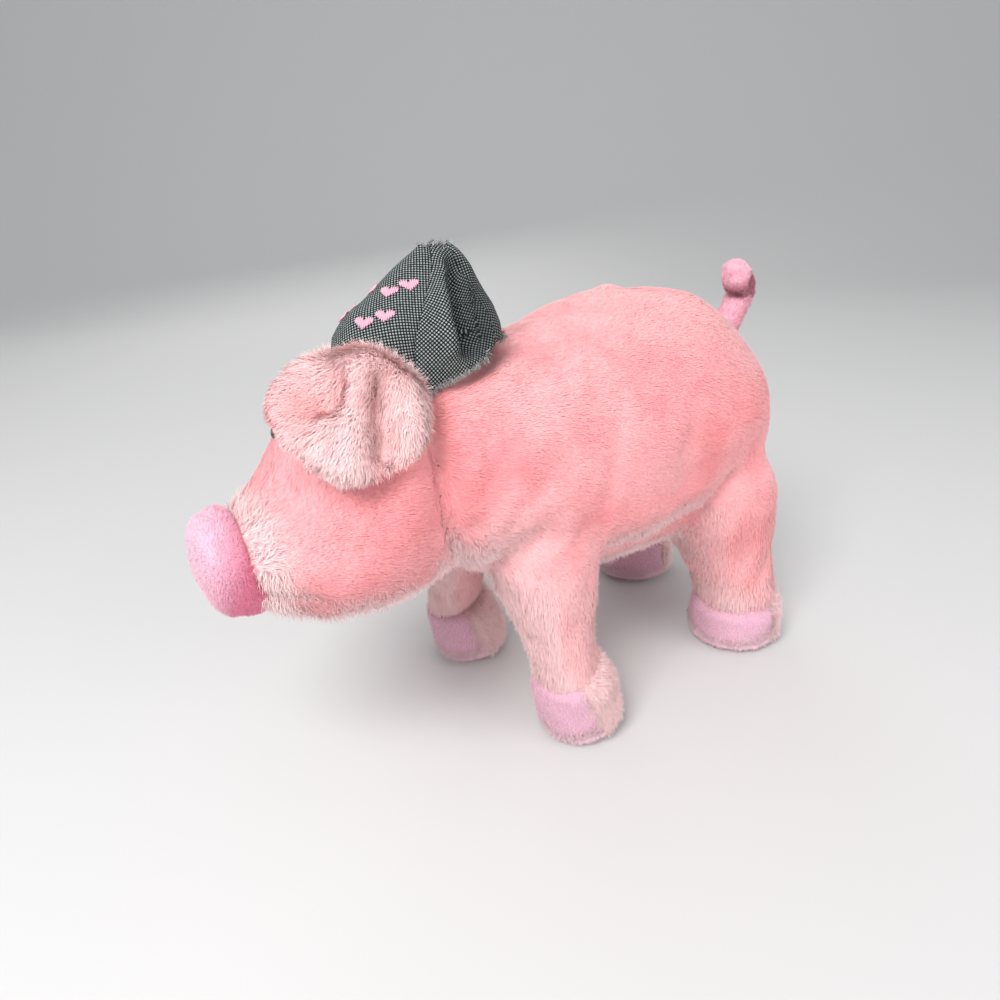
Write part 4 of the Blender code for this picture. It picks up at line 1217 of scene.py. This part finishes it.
# %% The hat's folds
HAT_FOLD = [(459, 262), (460, 290), (462, 318), (468, 343)]
HAT_POCKET = [(471, 280), (477, 310), (482, 332)]
HAT_LIP = [(449, 268), (450, 290), (450, 325), (455, 348)]
HAT_DENT = [(425, 280), (420, 310), (418, 340)]
HAT_REAR_SHADE = [(474, 285), (484, 310), (489, 335)]
crown = surface_of(*hat)
fold, pocket, lip, dent, rear = [
    seen_on(crown, *pixels) for pixels in (HAT_FOLD, HAT_POCKET, HAT_LIP, HAT_DENT, HAT_REAR_SHADE)
]
for panel in hat:
    press_line(panel, fold, 0.0034, 0.0095)
    press_line(panel, pocket, 0.0085, 0.0055)
    press_line(panel, lip, 0.0032, -0.0042)
    press_line(panel, dent, 0.0060, 0.0012)
    roughen(panel, 0.016, 0.0014, 6)
    soften(panel, 2, hold_edges=True)
    places = read_points(panel)[0]
    # Painted shade dims the weave in the pocket, the fold and the rear; a painted highlight lifts it on the
    # lip.
    shade = 0.3 + 0.45 * near_line(places, pocket, 0.009) + near_line(places, fold, 0.0040)
    shade = shade + 0.2 * near_line(places, rear, 0.013) - 0.25 * near_line(places, lip, 0.0045)
    paint(panel, "shade", np.clip(shade, 0, 1))
print("the fold is seen at", len(fold), "points")

# %% [markdown]
# Real panels are cut from flat cloth, and the weave has to run as it did there. Unwrapping with the
# least stretch gives that flat cut. It is turned so that its middle thread stands upright and scaled to
# the panel's real area, which makes it a map in metres.

# %% The flat cuts of the panels
def turned_upright(flat, up):
    """Turn a flat cut so that its middle thread runs up."""
    run = flat[np.argmax(up)] - flat[np.argmin(np.where(up < 0, 9, up))]
    run /= np.linalg.norm(run)
    return np.stack([flat @ np.array([run[1], -run[0]]), flat @ run], axis=1)


def drawn_area(mesh, flat):
    """The area of a flat cut as the unwrapping drew it."""
    total = 0
    for face in mesh.polygons:
        corner = flat[face.loop_start]
        total += abs(np.cross(flat[face.loop_start + 1] - corner, flat[face.loop_start + 3] - corner))
    return total


def lay_flat(panel):
    """Unwrap a panel as its flat cut, in metres. Returns the cut's size and area."""
    bpy.context.view_layer.objects.active = panel
    panel.select_set(True)
    panel.data.uv_layers.new(name="threads")
    bpy.ops.object.mode_set(mode="EDIT")
    bpy.ops.mesh.select_all(action="SELECT")
    bpy.ops.uv.unwrap(method="MINIMUM_STRETCH", iterations=40)
    bpy.ops.object.mode_set(mode="OBJECT")
    panel.select_set(False)
    mesh = panel.data
    flat = np.empty(len(mesh.loops) * 2)
    mesh.uv_layers["threads"].uv.foreach_get("vector", flat)
    corner_of = np.array([loop.vertex_index for loop in mesh.loops])
    up = np.array([value.value for value in mesh.attributes["up"].data])[corner_of]
    flat = turned_upright(flat.reshape(-1, 2), up)
    area = sum(face.area for face in mesh.polygons)
    flat *= math.sqrt(area / drawn_area(mesh, flat))
    flat -= flat.min(0)
    mesh.uv_layers["threads"].uv.foreach_set("vector", flat.ravel())
    size = flat.max(0)
    print(f"{panel.name}: cut {1000 * size[0]:.0f} by {1000 * size[1]:.0f} mm, {1e4 * area:.1f} cm2")
    return size, area


cuts = {panel.name: lay_flat(panel) for panel in hat}

# %% [markdown]
# The panels dip in where they are stitched together, and threads fray out at the hem and at the peak.
# Solidify then gives each panel its thickness.

# %% Seams, fray and thickness
FRAY = pile(0.0032, 0.00022, bend=1.0, lift=0.5, scatter=1.1, clump=0.8, clump_size=0.003)
HAT_SEAMS = [
    [crown_point(STEP * turn, HAT_BASE - 0.008 + index * 0.0039) for index in range(13)]
    for turn in (5, 10, 22, 27)
]
CLOTH_THICKNESS = 0.0009


def above_hem(place):
    """How far a place on the hat lies above the hem."""
    turn = math.atan2(-place[1] / HAT_REACHES[2], (HAT_PEAK_X - place[0]) / HAT_REACHES[0])
    return place[2] - hem_height(turn)


for panel in hat:
    for line in HAT_SEAMS:
        press_line(panel, line, 0.0010, 0.0008)
    places = read_points(panel)[0]
    at_hem = np.array([above_hem(place) for place in places]) < 0.0014
    peak = smoothstep(places[:, 2], HAT_TOP - 0.0012, HAT_TOP)
    flow = np.where(peak[:, None] > 0, 0.6, -1) * np.array((0.3, 0, 1))
    comb(panel, flow, grow=np.maximum(at_hem, peak), long=1.0 - 0.45 * peak)
    fray = dress(plant(panel, f"{panel.name}_fray", 420, FRAY, 61), HAT_THREAD)
    change = panel.modifiers.new("cloth thickness", "SOLIDIFY")
    change.thickness = CLOTH_THICKNESS
    change.offset = -1
    settle(panel)
    dress(panel, BASKET_CLOTH)
    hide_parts(f"{panel.name}_panel")

# %% [markdown]
# Two short rows of little hearts are stitched on the hat's front in pink thread. Satin stitch is threads
# laid side by side, so each heart is nine thin spindles, as long as the heart is high where they lie.

# %% The stitched hearts
HEART_ROWS = [[(389, 291), (409, 284)], [(364, 322), (385, 315)]]
HEART_WIDTH = 0.0070
HEART_THREADS = 9


def heart_reach(place):
    """How far a heart reaches up and down at this place across it, from -1 to 1."""
    lobe = 0.30 * math.sqrt(max(0, 1 - (2 * abs(place) - 1) ** 2))
    return 0.22 + lobe, 0.80 * (1 - abs(place)) ** 0.8


def stitch_heart(bm, surface, middle, width):
    """Lay the threads of one heart side by side on the cloth."""
    hit, out = surface.find_nearest(middle)[:2]
    up = (Vector((0, 0, 1)) - out.z * out).normalized()
    across = up.cross(out)
    for count in range(HEART_THREADS):
        place = (count + 0.5 - HEART_THREADS / 2) / (HEART_THREADS / 2)
        above, below = [reach * width / 1.7 for reach in heart_reach(place)]
        spot = hit + across * (place * width / 2) + up * ((above - below) / 2)
        near, normal = surface.find_nearest(spot)[:2]
        made = bmesh.ops.create_uvsphere(bm, u_segments=6, v_segments=6, radius=1)["verts"]
        bmesh.ops.scale(bm, vec=(width / 15, 0.00032, (above + below) / 2), verts=made)
        bmesh.ops.transform(bm, matrix=Matrix((across, normal, up)).transposed().to_4x4(), verts=made)
        bmesh.ops.translate(bm, vec=near + 0.00025 * normal, verts=made)


STITCH_PINK, shader, wire = cloth_shader("stitch_thread", 0.5, 0.3, 0.4)
thread_colour = wire.mix(wire.clouds(2500.0), (0.80, 0.30, 0.40, 1.0), (0.95, 0.52, 0.60, 1.0))
wire.feed(shader.inputs["Base Color"], thread_colour)
crown = surface_of(*hat)
bm = bmesh.new()
hearts = []
for row in HEART_ROWS:
    spots = seen_on(crown, *row)
    hearts += spots + [Vector((spot.x, -spot.y, spot.z)) for spot in spots if abs(spot.y) > 0.005]
for spot in hearts:
    stitch_heart(bm, crown, spot, HEART_WIDTH)
dress(new_object("hat_stitches", bm), STITCH_PINK)
print(len(hearts), "hearts")

# %% [markdown]
# The tail is a tube of velour, stuffed and sewn so that it curls once. A curve with a round bevel is the
# quickest way to such a tube. Its radius closes at the tip, its capped root hides in the rump, and the
# curve is then made a mesh.

# %% The tail
TAIL_BASE = Vector((0.13547, 0, 0.16067))
TAIL_ROUTE = [TAIL_BASE + Vector(step) / 1000 for step in [
    (-7.0, 0.0, -8.2), (5.1, -0.1, 3.8), (10.3, -0.3, 10.9), (12.9, -1.2, 17.0),
    (10.0, -2.8, 21.0), (6.6, -2.8, 24.0), (7.2, -1.2, 27.0), (10.8, -0.4, 28.6),
]]
TAIL_RADIUS = 0.0061
TAIL_STEPS = 79
TAIL_TIP_SHARE = 0.15
TAIL_NAP = pile(0.0022, 0.00028, bend=1.0, lift=0.8, scatter=0.7, clump=0.9, clump_size=0.002)


def tail_centre(t):
    """The tail's middle line: a smooth curve up a short stem, then round and over itself."""
    last = len(TAIL_ROUTE) - 1
    place = t * last
    index = min(int(place), last - 1)
    share = place - index
    before, start, end, after = [TAIL_ROUTE[min(max(index + shift, 0), last)] for shift in (-1, 0, 1, 2)]
    curve = (2 * before - 5 * start + 4 * end - after) * share ** 2
    curve = curve + (3 * start - before - 3 * end + after) * share ** 3
    return (2 * start + (end - before) * share + curve) / 2


def tail_fullness(t):
    """The tail's radius at a share of its length, with a round tip, a full lobe and a waist before it."""
    end = min(1, (1 - t) / TAIL_TIP_SHARE)
    lobe = 0.12 * math.exp(-((t - 0.75) / 0.12) ** 2)
    waist = 0.08 * math.exp(-((t - 0.48) / 0.06) ** 2)
    return max(math.sqrt(1 - (1 - end) ** 2), 0.04) * (1 + lobe - waist)


def tail_form():
    """The tail's bare tube as a mesh."""
    line = bpy.data.curves.new("tail", "CURVE")
    line.dimensions = "3D"
    line.bevel_depth = TAIL_RADIUS
    line.bevel_resolution = 8
    line.use_fill_caps = True
    spline = line.splines.new("POLY")
    spline.points.add(TAIL_STEPS)
    for index, point in enumerate(spline.points):
        point.co = (*tail_centre(index / TAIL_STEPS), 1)
        point.radius = tail_fullness(index / TAIL_STEPS)
    tube = bpy.data.objects.new("tail", line)
    scene.collection.objects.link(tube)
    graph = bpy.context.evaluated_depsgraph_get()
    mesh = bpy.data.meshes.new_from_object(tube.evaluated_get(graph), depsgraph=graph)
    bpy.data.objects.remove(tube)
    mesh.name = "tail_tube"
    mesh.shade_smooth()
    item = bpy.data.objects.new("tail_tube", mesh)
    scene.collection.objects.link(item)
    return item


tail = tail_form()
ways = np.array([
    tail_centre((index + 1) / TAIL_STEPS) - tail_centre(index / TAIL_STEPS) for index in range(TAIL_STEPS)
])
points = len(tail.data.vertices)
step_of = np.arange(points) * TAIL_STEPS // points
rings = np.array([0.5 + 0.5 * math.sin(index * 0.9) for index in range(TAIL_STEPS)])
roughen(tail, 0.004, 0.0011, 9)
comb(tail, ways[step_of] * 1000, pale=0.35 * rings[step_of])
for item in (plant(tail, "tail_pile", 20000, TAIL_NAP, 71), tail):
    item.data.materials.clear()
    item.data.materials.append(TAIL_VELOUR)
    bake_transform(item)
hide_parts("tail_skin", "tail_stuffing")
